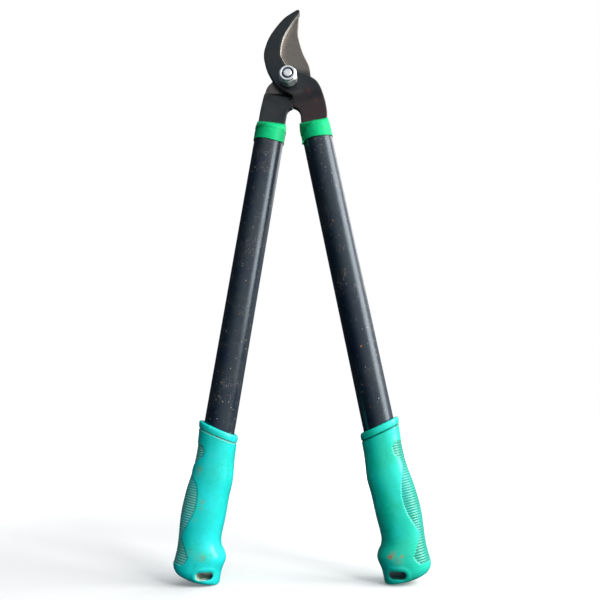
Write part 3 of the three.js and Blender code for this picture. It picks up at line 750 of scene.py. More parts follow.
# Half-widths of a grip, outwards, inwards and from front to back, as [height, reach] knots.
GRIP_OUTER = [[GRIP_BOTTOM, -2], [5.4, 4], [6.9, 10], [8.6, 14.4], [11.6, 17.4], [15, 18.9], [20, 19.1],
              [28, 18.6], [37, 19], [56, 20.6], [75, 19.6], [85, 18.1], [94, 16.8], [106, 16.3],
              [120, 16.8], [GRIP_TOP, 18.2]]
GRIP_INNER = [[GRIP_BOTTOM, GRIP_END_INNER], [5.4, 21.8], [6.9, 22.5], [11.6, 22.5], [17, 22.8], [26, 24.5],
              [31, 22.7], [36, 19.2], [42, 17.7], [62, 18.4], [80, 18.6], [95, 19.5], [115, 17.8],
              [GRIP_TOP, 17.3]]
GRIP_DEPTH = [[GRIP_BOTTOM, 10], [5.4, 12.6], [6.9, 15], [9.6, 17], [14, 18.2], [26, 18.65], [40, 17.4],
              [60, 17.6], [90, 16.8], [110, 16.4], [GRIP_TOP, 17.4]]
GRIP_SLANT = 0.25
GRIP_BORE, BORE_FLOOR = 14.1, 24.2
TOP_ROUND = 1.4
SLOT = {"height": 12.4, "offset": -11.4, "length": 13.4, "width": 6.0}
SLOT_ROUND = 1.3
RIB_PITCH = 2.07
RIB_HEIGHT = 0.36
PANEL_DEPTH = 0.78
# The ribbed panel's border on the front of a grip, as [height, offset].
PANEL_FRONT = [[17.4, 19], [17.9, 8.4], [21.1, 5.6], [24.8, 4.0], [30.7, 7.8], [36.6, 11.7], [39.7, 13.1],
               [43.1, 12.8], [50.4, 9.9], [57.8, 6.9], [64.9, 5.3], [71.8, 5.1], [78.5, 5.9], [85.1, 7.7], [91.5, 10.4],
               [98.1, 12.1], [102.5, 11.3], [107.6, 6.7], [113.3, 6.1], [117.6, 9.6], [118.4, 19]]


def slot_distance(s, q):
    """How far a point in the handle's plane is outside the level hang slot."""
    dq, ds = q - SLOT["offset"], s - SLOT["height"]
    along, across = dq * COS - ds * SIN, dq * SIN + ds * COS
    half = (SLOT["length"] - SLOT["width"]) / 2
    return np.hypot(np.maximum(np.abs(along) - half, 0), across) - SLOT["width"] / 2


def slot_wall(s, q):
    """1 on the walls inside the hang slot, 0 on the faces round it."""
    return 1 - smoothstep(-0.1, 0.5, slot_distance(s, q))


def across_slot(side, s, q):
    """How far to the right of the slot's middle a point is, level across the view."""
    dq, ds = q - SLOT["offset"], s - SLOT["height"]
    return side * (dq * COS - ds * SIN)


def panel_share(side, s, q):
    """1 inside the ribbed panel on the outer side of a grip, 0 outside it."""
    knots = np.array(PANEL_FRONT)
    border = np.interp(s, knots[:, 0], knots[:, 1]) + (side < 0) * 5.0 * bell(s, 95, 8)
    across = np.clip((q - border) / 0.9, 0, 1)
    ends = smoothstep(17.4, 18.2, s) * (1 - smoothstep(117.6, 118.4, s))
    return across * across * (3 - 2 * across) * ends


def rib_share(s):
    """1 on the crest of a rib, 0 in the valley between two."""
    phase = np.mod(s / RIB_PITCH, 1.0)
    return smoothstep(0.0, 0.30, phase) * (1 - smoothstep(0.55, 0.85, phase))


def grip_surface(side):
    """The points and faces of a whole grip before its slot is cut, closed at the foot and in the bore."""
    below_groove, above_groove = GROOVE_HEIGHT - 1.4, GROOVE_HEIGHT + 1.8
    heights = np.concatenate([
        np.arange(GRIP_BOTTOM, 8, 0.16), np.arange(8, 17, 0.4), np.arange(17, 119.5, 0.3),
        np.arange(119.5, below_groove, 0.6), np.arange(below_groove, above_groove, 0.12),
        np.arange(above_groove, GRIP_TOP - TOP_ROUND, 0.4)])
    columns = 216
    around = np.arange(columns) * 2 * math.pi / columns
    groove = 0.95 * bell(heights, GROOVE_HEIGHT + 0.1, 0.55)
    bead = 0.25 * bell(heights, GROOVE_HEIGHT + 3.4, 2.6)
    outer = through_knots(GRIP_OUTER, heights)
    inner = through_knots(GRIP_INNER, heights)
    depth = through_knots(GRIP_DEPTH, heights)
    rows_q, rows_y, rows_s = [], [], []
    cos_p, sin_p = superellipse(around, 2.3)

    def section(height, half, centre, half_depth, slant):
        q = centre + half * cos_p
        rows_q.append(q)
        rows_y.append(half_depth * sin_p)
        rows_s.append(height + slant * q)

    foot_half, foot_centre = (outer[0] + inner[0]) / 2, (outer[0] - inner[0]) / 2
    foot_shares = (0.35, 0.7, 0.93)
    for share in foot_shares:
        section(GRIP_BOTTOM, share * foot_half, foot_centre, share * depth[0], 0.0)
    for h, o, i, d, g, b in zip(heights, outer, inner, depth, groove, bead):
        change = b - g
        section(h, (o + i) / 2 + change, (o - i) / 2, d + change, GRIP_SLANT * smoothstep(30, 115, h))
    o, i, d = (knots[-1][1] for knots in (GRIP_OUTER, GRIP_INNER, GRIP_DEPTH))
    for turn in np.linspace(0, math.pi / 2, 7):
        inset = TOP_ROUND * (1 - math.cos(turn))
        rise = GRIP_TOP - TOP_ROUND + TOP_ROUND * math.sin(turn)
        section(rise, (o + i) / 2 - inset, (o - i) / 2, d - inset, GRIP_SLANT)
    lip = GRIP_BORE + 0.25
    for share in (0.4, 0.85):
        left = 1 - share
        section(GRIP_TOP + 0.02, lip + ((o + i) / 2 - TOP_ROUND - lip) * left, (o - i) / 2 * left,
                lip + (d - TOP_ROUND - lip) * left, GRIP_SLANT)
    for height, radius, slant in (
            (GRIP_TOP - 0.4, GRIP_BORE + 0.02, GRIP_SLANT), (GRIP_TOP - 4, GRIP_BORE, GRIP_SLANT),
            (110.0, GRIP_BORE, 0.0), (BORE_FLOOR, GRIP_BORE, 0.0)):
        rows_q.append(radius * np.cos(around))
        rows_y.append(radius * np.sin(around))
        rows_s.append(height + slant * radius * np.cos(around))
    q, y, s = (np.array(rows) for rows in (rows_q, rows_y, rows_s))
    first_row = len(foot_shares)

    place = np.stack([q, y, s], axis=-1)
    along = np.gradient(place, axis=0)
    across = np.roll(place, -1, axis=1) - np.roll(place, 1, axis=1)
    normal = np.cross(across, along)
    normal /= np.maximum(np.linalg.norm(normal, axis=2), 1e-9)[..., None]

    panel = panel_share(side, s, q)
    parting = bell(y, 0, 1.0) * (q > 0)
    sink = panel * (PANEL_DEPTH - RIB_HEIGHT * rib_share(s) * (1 - 0.9 * parting) - 0.55 * parting)
    near_slot = np.clip(SLOT_ROUND - slot_distance(s, q), 0, SLOT_ROUND)
    slot_dip = SLOT_ROUND - np.sqrt(np.maximum(SLOT_ROUND**2 - near_slot**2, 0))
    facing = smoothstep(0.35, 0.75, np.abs(normal[..., 1]))
    swell = 0.35 * bell(slot_distance(s, q), 2.6, 1.4) * facing
    shifted = place + side * 90
    uneven = 0.10 * value_noise(shifted, 17.0, 51) + 0.03 * value_noise(shifted, 4.0, 52)
    change = uneven - sink - 0.75 * slot_dip * facing + swell
    active = np.zeros(len(s))
    active[first_row:first_row + len(heights)] = 1
    place = place + normal * (change * active[:, None])[..., None]

    faces = grid_faces(len(s), columns)
    points = place.reshape(-1, 3)
    first_centre, last_centre = len(points), len(points) + 1
    points = np.vstack([points, [[np.mean(q[0]), 0, GRIP_BOTTOM]], [[0, 0, BORE_FLOOR]]])
    last = (len(s) - 1) * columns
    faces += [((i + 1) % columns, i, first_centre) for i in range(columns)]
    faces += [(last + i, last + (i + 1) % columns, last_centre) for i in range(columns)]
    placed = on_handle(side, points[:, 2], points[:, 0], points[:, 1])
    if side < 0:
        faces = [f[::-1] for f in faces]
    return placed, faces


def slot_cutter(side):
    """A rounded bar that flares towards both faces of the pommel."""
    half, radius = (SLOT["length"] - SLOT["width"]) / 2, SLOT["width"] / 2
    turn = np.linspace(-math.pi / 2, math.pi / 2, 17)
    loop = np.array([[half + radius * math.cos(a), radius * math.sin(a)] for a in turn]
                    + [[-half - radius * math.cos(a), -radius * math.sin(a)] for a in turn])
    centre = on_handle(side, SLOT["height"], SLOT["offset"], 0.0)
    rings = []
    for y in (-26, -12, 0, 12, 26):
        swell = 1 + 0.05 * abs(y) / 26
        rings.append(np.stack([centre[0] + side * loop[:, 0] * swell, np.full(len(loop), float(y)),
                               centre[2] + loop[:, 1] * swell], axis=1))
    count = len(loop)
    faces = grid_faces(len(rings), count, flip=side > 0)
    first, last = list(range(count)), [(len(rings) - 1) * count + i for i in range(count)]
    faces += [tuple(first), tuple(last[::-1])] if side > 0 else [tuple(first[::-1]), tuple(last)]
    mesh = bpy.data.meshes.new("slot_cutter")
    mesh.from_pydata((np.vstack(rings) * MM).tolist(), [], faces)
    cutter = bpy.data.objects.new("slot_cutter", mesh)
    bpy.context.scene.collection.objects.link(cutter)
    return cutter


# Stains on the front of each grip: height, offset, size, strength.
SMUDGES = {
    1: [(28.1, -13.9, 1.6, 1.0), (26.9, -4.8, 1.3, 0.85), (29, -11.5, 2.6, 0.35), (24, -8, 3.0, 0.2)],
    -1: [(27.9, -8.4, 2.8, 0.6), (27.0, -3.5, 3.2, 0.25), (97.7, 7.8, 2.4, 0.55), (92.5, 9.0, 1.9, 0.4),
         (71.3, 0.7, 1.8, 0.6), (66.0, 0.5, 1.5, 0.45), (30, 3.0, 3.0, 0.2), (56, 4.0, 2.0, 0.2)],
}


def grip(side, material):
    points, faces = grip_surface(side)
    obj = make_object(f"{WORD[side]}_grip_moulded", points, faces, [material], BODY[side],
                      [f"{WORD[side]}_grip"], sharp=50)
    cutter = slot_cutter(side)
    cut = obj.modifiers.new("slot", "BOOLEAN")
    cut.operation, cut.solver, cut.object = "DIFFERENCE", "EXACT", cutter
    evaluated = obj.evaluated_get(bpy.context.evaluated_depsgraph_get())
    mesh = bpy.data.meshes.new_from_object(evaluated)
    obj.modifiers.clear()
    obj.data = mesh
    bpy.data.objects.remove(cutter)
    finish_shading(mesh, 50)
    paint_grip(side, mesh)


def paint_grip(side, mesh):
    """Where a grip is dusty and stained, and where light and shade are painted on it. The left one has the dust and a
    pale patch in its slot, the right one the most painted shade.
    """
    left = side < 0
    place = mesh_points(mesh)
    s, q = handle_place(side, place)
    valley = 1 - rib_share(s)
    panel = panel_share(side, s, q)
    border = panel * (1 - panel) * 4
    cloud = 0.5 + 0.5 * value_noise(place, 7.0, 61)
    along_groove = bell(s - GRIP_SLANT * q, GROOVE_HEIGHT + 0.1, 0.75)
    in_slot = slot_wall(s, q)
    # Dust and painted light: the left part of the left grip's slot wall is painted pale beige, for dust and the light
    # that falls there.
    lit_dusty_slot_wall = in_slot * (1 - smoothstep(0.5, 2.5, across_slot(side, s, q)))
    dust = panel * (0.60 + 0.10 * valley) * (0.55 + 0.45 * cloud) * (1.0 if left else 0.15)
    dust = np.maximum(dust, along_groove * (0.95 if left else 0.0))
    # Painted shade: dark in the right grip's groove, on the hang slot's walls except the pale part of the left slot, at
    # the left panel's border and over the right panel, deepest in its valleys.
    painted_shade = np.maximum(along_groove * (0.0 if left else 0.8), 0.9 * in_slot - lit_dusty_slot_wall * left)
    painted_shade = np.maximum(painted_shade, 0.2 * border * left)
    painted_shade = np.maximum(painted_shade, panel * (0.34 + 0.26 * valley) * (not left))
    stain = np.zeros(len(place))
    wobble = value_noise(place, 1.8, 62)
    for height, offset, size, strength in SMUDGES[side]:
        reach = np.hypot(s - height, q - offset) / (size * (1 + 0.5 * wobble))
        stain = np.maximum(stain, strength * np.exp(-reach**2) * (place[:, 1] < 0))
    paint(mesh, "dust", np.clip(dust, 0, 1))
    paint(mesh, "slot_dust_and_light", lit_dusty_slot_wall * left)
    paint(mesh, "painted_shade", painted_shade)
    paint(mesh, "stain", np.clip(stain, 0, 1))


# ---------------------------------------------------------------- materials

def add_node(tree, kind, **settings):
    made = tree.nodes.new(kind)
    for key, value in settings.items():
        setattr(made, key, value)
    return made


def feed(tree, target, source):
    """Links source to the target socket, or sets the socket if source is a plain value."""
    if hasattr(source, "is_linked"):
        tree.links.new(source, target)
    else:
        target.default_value = source


def ranged_node(tree, value, limits, interpolation="SMOOTHSTEP"):
    """Maps a value from one range to another: limits are (from low, from high, to low, to high)."""
    made = add_node(tree, "ShaderNodeMapRange", interpolation_type=interpolation)
    feed(tree, made.inputs["Value"], value)
    for socket, number in zip(("From Min", "From Max", "To Min", "To Max"), limits):
        made.inputs[socket].default_value = number
    return made.outputs["Result"]


class Surface:
    """A material being built: a Principled shader and the texture nodes that feed it."""

    def __init__(self, name, **settings):
        self.material = bpy.data.materials.new(name)
        self.material.use_nodes = True
        self.tree = self.material.node_tree
        self.shader = self.tree.nodes["Principled BSDF"]
        for socket, value in settings.items():
            self.shader.inputs[socket.replace("_", " ")].default_value = value
        self.place = self.node("ShaderNodeTexCoord").outputs["Object"]

    def node(self, kind, **settings):
        return add_node(self.tree, kind, **settings)

    def feed(self, target, source):
        feed(self.tree, target, source)

    def mapped(self, scale, turn=0.0):
        mapping = self.node("ShaderNodeMapping")
        self.tree.links.new(self.place, mapping.inputs["Vector"])
        mapping.inputs["Scale"].default_value = scale
        mapping.inputs["Rotation"].default_value = (0, turn, 0)
        return mapping.outputs["Vector"]

    def noise(self, scale, detail=4.0, roughness=0.55, distortion=0.0, vector=None):
        made = self.node("ShaderNodeTexNoise")
        self.tree.links.new(vector or self.place, made.inputs["Vector"])
        made.inputs["Scale"].default_value = scale
        made.inputs["Detail"].default_value = detail
        made.inputs["Roughness"].default_value = roughness
        made.inputs["Distortion"].default_value = distortion
        return made.outputs["Fac"]

    def streaks(self, stretch, turn, detail=3, roughness=0.6):
        """Noise stretched into lines: stretch is the scale along each axis after the turn."""
        return self.noise(1.0, detail, roughness, 0.0, self.mapped(stretch, turn))

    def cells(self, scale):
        made = self.node("ShaderNodeTexVoronoi")
        self.tree.links.new(self.place, made.inputs["Vector"])
        made.inputs["Scale"].default_value = scale
        return made.outputs["Distance"]

    def painted(self, name):
        return self.node("ShaderNodeAttribute", attribute_name=name).outputs["Fac"]

    def ranged(self, value, low, high, to_low=0.0, to_high=1.0):
        return ranged_node(self.tree, value, (low, high, to_low, to_high))

    def maths(self, operation, a, b):
        made = self.node("ShaderNodeMath", operation=operation)
        self.feed(made.inputs[0], a)
        self.feed(made.inputs[1], b)
        return made.outputs[0]

    def times(self, a, b):
        return self.maths("MULTIPLY", a, b)

    def blended(self, value, low, high, a, b):
        """Colour a below low and colour b above high."""
        return self.mixed(self.ranged(value, low, high), a, b)

    def mixed(self, share, a, b):
        made = self.node("ShaderNodeMix", data_type="RGBA")
        self.feed(made.inputs["Factor"], share)
        self.feed(made.inputs[6], a)
        self.feed(made.inputs[7], b)
        return made.outputs[2]

    def bumped(self, height, strength, distance):
        made = self.node("ShaderNodeBump")
        made.inputs["Strength"].default_value = strength
        made.inputs["Distance"].default_value = distance
        self.tree.links.new(height, made.inputs["Height"])
        below = self.shader.inputs["Normal"]
        if below.is_linked:
            self.tree.links.new(below.links[0].from_socket, made.inputs["Normal"])
        self.tree.links.new(made.outputs["Normal"], below)

    def set(self, socket, value):
        self.feed(self.shader.inputs[socket], value)


def rgb(red, green, blue):
    """A colour given as it shows on screen, 0 to 255, as the shader wants it."""
    def linear(value):
        value /= 255
        return value / 12.92 if value <= 0.04045 else ((value + 0.055) / 1.055) ** 2.4
    return (linear(red), linear(green), linear(blue), 1.0)


def ground_steel():
    """Bright steel with the fine lines of a grinding wheel across it."""
    surface = Surface("ground_steel", Metallic=0.4)
    grain = surface.streaks((3600, 300, 240), 0.3, 5, 0.7)
    cloud = surface.noise(200, 4, 0.6)
    tone = surface.blended(grain, 0.3, 0.7, rgb(190, 186, 180), rgb(214, 211, 205))
    tone = surface.mixed(surface.ranged(cloud, 0.55, 0.75, 0, 0.2), tone, rgb(150, 138, 124))
    # Painted shade: darker towards the hook's tip.
    surface.set("Base Color", surface.mixed(surface.painted("painted_tip_shade"), tone, rgb(84, 80, 77)))
    surface.set("Roughness", surface.ranged(cloud, 0.3, 0.7, 0.40, 0.52))
    surface.bumped(grain, 0.02, 0.00003)
    return surface.material


def steel(name, black, ground_and_highlight, rust, grain_turn):
    """Forged steel that is black where left as forged, and brushed where its brushed-steel attribute says; that
    attribute also carries painted highlights.
    """
    surface = Surface(name, Metallic=0.85)
    cloud = surface.noise(90, 6, 0.6)
    blotch = surface.noise(260, 5, 0.65, 0.4)
    black_tone = surface.blended(cloud, 0.35, 0.68, black, rgb(58, 60, 63))
    black_tone = surface.mixed(surface.ranged(blotch, 0.60, 0.75, 0, 0.55), black_tone, rgb(76, 76, 77))
    grain = surface.streaks((260, 260, 5200), grain_turn, 5, 0.7)
    ground_tone = surface.blended(grain, 0.3, 0.7, ground_and_highlight, rgb(150, 143, 136))
    ground_tone = surface.mixed(surface.ranged(cloud, 0.52, 0.72, 0, 0.55), ground_tone, rgb(112, 98, 84))
    # This attribute marks brushed steel and also carries painted highlights: on the hook's step and beside the hook's
    # edge on the blade.
    share = surface.painted("ground_and_highlight")
    tone = surface.mixed(share, black_tone, ground_tone)
    patchy = surface.ranged(surface.noise(600, 5, 0.7), 0.35, 0.6)
    # The rust attribute holds rust spots and, on the hook's lower shank, a painted sheen as well.
    rust_and_sheen = surface.times(surface.painted("rust"), patchy)
    tone = surface.mixed(rust_and_sheen, tone, rust)
    freckle = surface.ranged(surface.cells(420), 0.10, 0.04, 0, 0.5)
    freckle = surface.times(freckle, surface.ranged(surface.noise(75, 3), 0.5, 0.62))
    tone = surface.mixed(freckle, tone, rgb(120, 74, 48))
    scratch = surface.ranged(surface.streaks((900, 900, 42), 0.6), 0.69, 0.74)
    tone = surface.mixed(surface.times(scratch, 0.22), tone, rgb(150, 150, 148))
    surface.set("Base Color", tone)
    rough = surface.ranged(cloud, 0.3, 0.7, 0.38, 0.56)
    rough = surface.maths("SUBTRACT", rough, surface.times(share, 0.12))
    surface.set("Roughness", surface.maths("ADD", rough, surface.times(rust_and_sheen, 0.3)))
    surface.bumped(blotch, 0.25, 0.00025)
    surface.bumped(grain, 0.10, 0.00004)
    return surface.material


def zinc_plate():
    """Pale zinc plating with some grime."""
    surface = Surface("zinc", Metallic=0.8)
    cloud = surface.noise(420, 5, 0.6)
    tone = surface.blended(cloud, 0.35, 0.7, rgb(248, 249, 248), rgb(226, 229, 230))
    grime = surface.ranged(surface.noise(240, 6, 0.7), 0.58, 0.74, 0, 0.45)
    tone = surface.mixed(grime, tone, rgb(120, 116, 104))
    surface.set("Base Color", tone)
    surface.set("Roughness", surface.ranged(cloud, 0.3, 0.75, 0.30, 0.46))
    surface.bumped(surface.noise(900, 4), 0.12, 0.00008)
    return surface.material


def nylon_plastic():
    surface = Surface("nylon", Specular_IOR_Level=0.5)
    cloud = surface.noise(500, 3)
    surface.set("Base Color", surface.blended(cloud, 0.3, 0.7, rgb(22, 34, 70), rgb(38, 54, 96)))
    surface.set("Roughness", surface.ranged(cloud, 0.3, 0.7, 0.35, 0.5))
    surface.bumped(cloud, 0.2, 0.0001)
    return surface.material


# Places where the tube's paint is chipped to rust: height, angle round the tube, size.
CHIPS = {
    1: [(203, -1.66, 1.7), (321, -1.74, 1.1), (309, -2.1, 0.7), (402.5, -1.75, 0.8), (150, -1.9, 0.6),
        (318, -1.9, 0.5)],
    -1: [(385, -1.25, 0.6), (343, -1.3, 0.6), (236, -1.8, 0.7), (182, -1.4, 0.6), (163, -2.0, 0.5)],
}


def tube_paint(side):
    """Glossy blue-black paint with fine scratches, pale specks and a few rust dots."""
    surface = Surface(f"tube_paint_{WORD[side]}", Coat_Weight=0.1, Coat_Roughness=0.25,
                      Specular_IOR_Level=0.66, Specular_Tint=(0.78, 0.9, 1.0, 1))
    cloud = surface.noise(38, 5, 0.6)
    ragged = surface.noise(1400, 3)
    tone = surface.blended(cloud, 0.35, 0.68, rgb(10, 22, 40), rgb(26, 36, 42))
    along = surface.streaks((900, 900, 28), -side * LEAN)
    scratch = surface.ranged(along, 0.665, 0.72)
    scratch = surface.times(scratch, surface.ranged(surface.noise(24, 3), 0.46, 0.6))
    slanting = surface.ranged(surface.streaks((1300, 1300, 60), 0.7, 2, 0.5), 0.70, 0.73)
    scratch = surface.maths("MAXIMUM", scratch, surface.times(slanting, 0.8))
    tone = surface.mixed(surface.times(scratch, 0.45), tone, rgb(120, 128, 138))
    grit = surface.ranged(surface.noise(820, 3, 0.7), 0.53, 0.62)
    grit = surface.times(grit, surface.ranged(surface.noise(40, 4, 0.65), 0.50, 0.62))
    tone = surface.mixed(surface.times(grit, 0.5), tone, rgb(112, 106, 96))
    speck = surface.ranged(surface.cells(280), 0.17, 0.09)
    speck = surface.times(speck, surface.ranged(surface.noise(90, 2), 0.54, 0.58))
    tone = surface.mixed(surface.times(speck, 0.8), tone, rgb(160, 154, 142))
    dot = surface.ranged(surface.cells(125), 0.10, 0.06)
    dot = surface.times(dot, surface.ranged(surface.noise(31, 2), 0.52, 0.56))
    tone = surface.mixed(dot, tone, rgb(138, 124, 104))
    chip = 0.0
    for height, angle, size in CHIPS[side]:
        where = on_handle(side, height, TUBE_RADIUS * math.cos(angle), TUBE_RADIUS * math.sin(angle))
        away = surface.node("ShaderNodeVectorMath", operation="DISTANCE")
        surface.tree.links.new(surface.place, away.inputs[0])
        away.inputs[1].default_value = [number * MM for number in where]
        fray = surface.times(ragged, size * 0.9 * MM)
        reach = surface.maths("ADD", away.outputs["Value"], fray)
        chip = surface.maths("MAXIMUM", chip, surface.ranged(reach, 1.1 * size * MM, 0.9 * size * MM))
    rust = surface.blended(ragged, 0.4, 0.6, rgb(186, 112, 60), rgb(128, 78, 46))
    tone = surface.mixed(chip, tone, rust)
    surface.set("Base Color", tone)
    rough = surface.ranged(cloud, 0.3, 0.72, 0.26, 0.36)
    surface.set("Roughness", surface.maths("ADD", rough, surface.times(chip, 0.3)))
    surface.bumped(surface.noise(210, 3), 0.10, 0.0002)
    surface.bumped(surface.noise(1100, 3), 0.12, 0.00006)
    surface.bumped(along, 0.05, 0.00005)
    return surface.material


# Painted light: the left grip's tones are lighter and bluer than the right's, for the fuller light on the left grip.
GRIP_TONES_WITH_PAINTED_LIGHT = {1: (rgb(0, 200, 168), rgb(0, 214, 196)), -1: (rgb(0, 208, 196), rgb(0, 222, 222))}


def grip_plastic(side):
    """Soft turquoise moulded plastic, with dust in its ribs, a few stains, and painted light and shade."""
    surface = Surface(f"grip_pvc_{WORD[side]}", Specular_IOR_Level=0.65)
    cloud = surface.noise(42, 5, 0.55)
    tone = surface.blended(cloud, 0.34, 0.68, *GRIP_TONES_WITH_PAINTED_LIGHT[side])
    mottle = surface.ranged(surface.noise(150, 6, 0.7), 0.5, 0.72, 0, 0.35)
    tone = surface.mixed(mottle, tone, rgb(0, 176, 148))
    patchy = surface.ranged(surface.noise(320, 5, 0.7), 0.2, 0.62)
    dust = surface.times(surface.painted("dust"), patchy)
    tone = surface.mixed(dust, tone, rgb(138, 158, 142) if side < 0 else rgb(90, 176, 160))
    film = surface.ranged(surface.noise(70, 6, 0.7), 0.56, 0.76, 0, 0.20 if side < 0 else 0.08)
    tone = surface.mixed(film, tone, rgb(110, 190, 172))
    # Painted shade: dark green where shade falls in the groove, the slot and the ribbed panel.
    tone = surface.mixed(surface.painted("painted_shade"), tone, rgb(4, 52, 46))
    # Dust and painted light: pale beige on the left grip's slot wall.
    tone = surface.mixed(surface.painted("slot_dust_and_light"), tone, rgb(238, 228, 208))
    mealy = surface.ranged(surface.noise(700, 4), 0.15, 0.5)
    stain = surface.times(surface.painted("stain"), mealy)
    tone = surface.mixed(stain, tone, rgb(128, 152, 70) if side < 0 else rgb(204, 104, 26))
    scuff = surface.ranged(surface.streaks((700, 700, 60), 0.5), 0.68, 0.73)
    tone = surface.mixed(surface.times(scuff, 0.25), tone, rgb(120, 220, 205))
    surface.set("Base Color", tone)
    rough = surface.ranged(cloud, 0.3, 0.7, 0.26, 0.36)
    surface.set("Roughness", surface.maths("ADD", rough, surface.times(dust, 0.35)))
    surface.bumped(surface.noise(1500, 3), 0.08, 0.00005)
    surface.bumped(surface.noise(120, 4), 0.10, 0.0003)
    return surface.material


def tape_plastic():
    """Green PVC tape, matt and a little smeared."""
    surface = Surface("tape_green", Specular_IOR_Level=0.2)
    cloud = surface.noise(120, 4, 0.6)
    tone = surface.blended(cloud, 0.3, 0.7, rgb(0, 171, 105), rgb(0, 188, 120))
    smear = surface.ranged(surface.noise(300, 5, 0.7), 0.58, 0.75, 0, 0.35)
    tone = surface.mixed(smear, tone, rgb(0, 140, 80))
    # Painted shade beside the tape's fold.
    tone = surface.mixed(surface.painted("shade"), tone, rgb(0, 120, 68))
    surface.set("Base Color", tone)
    surface.set("Roughness", surface.ranged(cloud, 0.3, 0.7, 0.46, 0.6))
    surface.bumped(surface.noise(1.0, 4, 0.6, 0.6, surface.mapped((500, 500, 900))), 0.25, 0.0002)
    return surface.material


def plain(name, base, other, scale, roughness, metallic=0.0, stretch=None):
    """A two-tone material for the hidden pieces, with grain at the given scale."""
    surface = Surface(name, Metallic=metallic)
    vector = surface.mapped(stretch) if stretch else None
    grain = surface.noise(scale, 5, 0.6, 0.3, vector)
    surface.set("Base Color", surface.blended(grain, 0.3, 0.7, base, other))
    surface.set("Roughness", surface.ranged(grain, 0.3, 0.7, roughness - 0.08, roughness + 0.08))
    surface.bumped(grain, 0.3, 0.0002)
    return surface.material


# ---------------------------------------------------------------- the loppers

hook_steel = steel("hook_steel", rgb(50, 55, 59), rgb(128, 124, 118), rgb(98, 66, 64), 0.5)
blade_steel = steel("blade_steel", rgb(62, 67, 70), rgb(134, 126, 119), rgb(104, 84, 72), -0.25)
bright_edge = ground_steel()
zinc = zinc_plate()
nylon = nylon_plastic()
tape_material = tape_plastic()

counter_blade(hook_steel, bright_edge)
cutting_blade(blade_steel, bright_edge)
nut_pieces(zinc, nylon)
bolt(zinc)
washers(zinc)
for side, thickness in ((1, 2 * HOOK_SHANK_HALF), (-1, 2 * BLADE_SHANK_HALF)):
    tube(side, tube_paint(side))
    tape(side, tape_material, thickness)
    grip(side, grip_plastic(side))
tape_tail(tape_material)

hidden_materials = {
    "tube_plug": plain("plug_plastic", rgb(34, 36, 40), rgb(48, 50, 54), 400, 0.55),
    "tang_rivet": plain("rivet_steel", rgb(150, 152, 155), rgb(118, 118, 118), 600, 0.4, 1.0),
    "packing_front": plain("packing_wood", rgb(176, 136, 94), rgb(140, 100, 62), 1.0, 0.75,
                           stretch=(700, 700, 40)),
}
hidden_materials["packing_rear"] = hidden_materials["packing_front"]
for word in WORD.values():
    for part, material in hidden_materials.items():
        node = frame["nodes"][f"{word}_{part}"]
        node.data.materials.clear()
        node.data.materials.append(material)


# ---------------------------------------------------------------- floor, light and camera

FLOOR_HALF = 12.0
FLOOR_DROP = 0.0002
# The floor's own light keeps it white and grows with distance; it doesn't light the object.
FLOOR_GLOW, FLOOR_FAR_GLOW = 0.16, 0.85
FLOOR_NEAR, FLOOR_FAR = 0.3, 1.3
WORLD_DARK, WORLD_BRIGHT, WORLD_BELOW = 0.06, 1.05, 0.55
WORLD_LIGHT_FROM = Vector((0.80, -0.42, 0.36)).normalized()
SKY_BLUE, SUN_WHITE, WHITE = (0.54, 0.76, 1.0, 1), (1.0, 0.98, 0.94, 1), (1, 1, 1, 1)
CAMERA_PLACE = (0.04129, -0.58124, 0.13520)
CAMERA_PITCH, CAMERA_YAW, CAMERA_ROLL = 10.57, -3.705, -1.122
CAMERA_LENS, CAMERA_SENSOR = 38.77, 36.0


def pale_floor():
    mesh = bpy.data.meshes.new("floor")
    h = FLOOR_HALF
    mesh.from_pydata([(-h, -h, 0), (h, -h, 0), (h, h, 0), (-h, h, 0)], [], [(0, 1, 2, 3)])
    floor = bpy.data.objects.new("floor", mesh)
    floor.location.z = -FLOOR_DROP
    bpy.context.scene.collection.objects.link(floor)
    surface = Surface("floor_white", Roughness=0.9, Specular_IOR_Level=0.05, Emission_Color=WHITE)
    far = surface.node("ShaderNodeVectorMath", operation="LENGTH")
    surface.tree.links.new(surface.place, far.inputs[0])
    glow = surface.ranged(far.outputs["Value"], FLOOR_NEAR, FLOOR_FAR, FLOOR_GLOW, FLOOR_FAR_GLOW)
    surface.set("Emission Strength", glow)
    cloud = surface.noise(1.5, 3)
    greys = [(value, value, value, 1) for value in (0.72, 0.74)]
    surface.set("Base Color", surface.blended(cloud, 0.3, 0.7, *greys))
    mesh.materials.append(surface.material)
    floor.visible_diffuse = False
    floor.visible_glossy = False


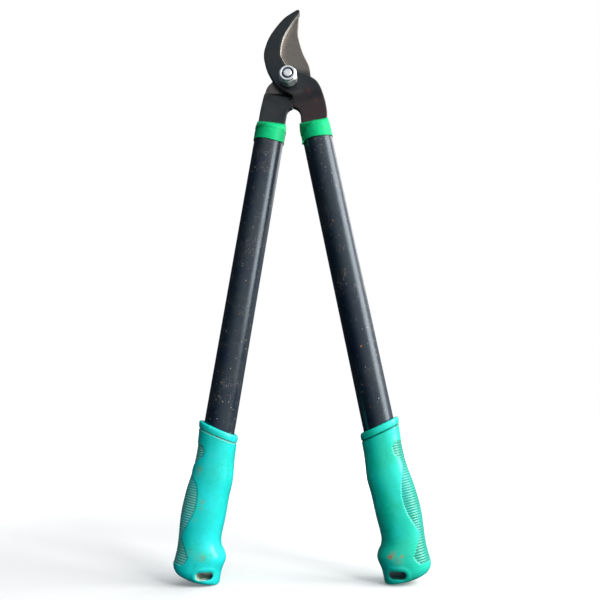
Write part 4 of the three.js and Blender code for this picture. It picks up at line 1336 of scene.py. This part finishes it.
def studio_world():
    """Soft light that is strongest from the right front; the camera sees plain white."""
    world = bpy.data.worlds.new("studio")
    bpy.context.scene.world = world
    world.use_nodes = True
    tree = world.node_tree
    tree.nodes.clear()
    direction = add_node(tree, "ShaderNodeTexCoord").outputs["Generated"]
    towards = add_node(tree, "ShaderNodeVectorMath", operation="DOT_PRODUCT")
    towards.inputs[1].default_value = WORLD_LIGHT_FROM
    feed(tree, towards.inputs[0], direction)
    spread = ranged_node(tree, towards.outputs["Value"], (-0.5, 1.0, WORLD_DARK, WORLD_BRIGHT))
    height = add_node(tree, "ShaderNodeSeparateXYZ")
    feed(tree, height.inputs[0], direction)
    below = ranged_node(tree, height.outputs["Z"], (-0.25, 0.05, WORLD_BELOW, 1.0), "LINEAR")
    strength = add_node(tree, "ShaderNodeMath", operation="MULTIPLY")
    tint = add_node(tree, "ShaderNodeMix", data_type="RGBA")
    lit = add_node(tree, "ShaderNodeBackground")
    seen = add_node(tree, "ShaderNodeBackground")
    path = add_node(tree, "ShaderNodeLightPath")
    mix = add_node(tree, "ShaderNodeMixShader")
    out = add_node(tree, "ShaderNodeOutputWorld")
    for target, source in (
            (strength.inputs[0], spread), (strength.inputs[1], below), (tint.inputs["Factor"], spread),
            (tint.inputs[6], SKY_BLUE), (tint.inputs[7], SUN_WHITE), (lit.inputs["Color"], tint.outputs[2]),
            (lit.inputs["Strength"], strength.outputs[0]), (seen.inputs["Color"], WHITE),
            (seen.inputs["Strength"], 1.0), (mix.inputs["Fac"], path.outputs["Is Camera Ray"]),
            (mix.inputs[1], lit.outputs["Background"]), (mix.inputs[2], seen.outputs["Background"]),
            (out.inputs["Surface"], mix.outputs["Shader"])):
        feed(tree, target, source)


def area_light(name, location, target, width, height, watts, glossy=True):
    data = bpy.data.lights.new(name, "AREA")
    data.shape, data.size, data.size_y, data.energy = "RECTANGLE", width, height, watts
    light = bpy.data.objects.new(name, data)
    light.location = location
    light.visible_glossy = glossy
    light.rotation_euler = (Vector(target) - Vector(location)).to_track_quat("-Z", "Y").to_euler()
    bpy.context.scene.collection.objects.link(light)


def photo_camera():
    """A camera low in front, looking up at the head, a little to the left and slightly rolled."""
    pitch, yaw, roll = (math.radians(turn) for turn in (CAMERA_PITCH, CAMERA_YAW, CAMERA_ROLL))
    forward = Vector((math.sin(yaw) * math.cos(pitch), math.cos(yaw) * math.cos(pitch), math.sin(pitch)))
    level = Vector((math.cos(yaw), -math.sin(yaw), 0))
    up = level.cross(forward)
    right = level * math.cos(roll) + up * math.sin(roll)
    top = up * math.cos(roll) - level * math.sin(roll)
    data = bpy.data.cameras.new("photo_camera")
    data.sensor_width, data.lens = CAMERA_SENSOR, CAMERA_LENS
    data.clip_start, data.clip_end = 0.01, 60
    camera = bpy.data.objects.new("photo_camera", data)
    rotation = Matrix((right, top, -forward)).transposed().to_4x4()
    camera.matrix_world = Matrix.Translation(CAMERA_PLACE) @ rotation
    bpy.context.scene.collection.objects.link(camera)
    bpy.context.scene.camera = camera


pale_floor()
studio_world()
area_light("side", (1.22, -0.26, 0.70), (0.0, 0.0, 0.25), 0.85, 1.1, 21)
area_light("key", (0.95, -1.0, 0.95), (0.0, 0.0, 0.15), 0.42, 0.42, 14, glossy=False)
area_light("behind_right", (0.9, 1.3, 1.1), (0.0, 0.0, 0.25), 0.8, 0.8, 5)
area_light("behind", (-0.15, 1.6, 0.8), (0.0, 0.0, 0.25), 0.8, 0.8, 6, glossy=False)
photo_camera()
bpy.context.scene.view_settings.view_transform = "Standard"
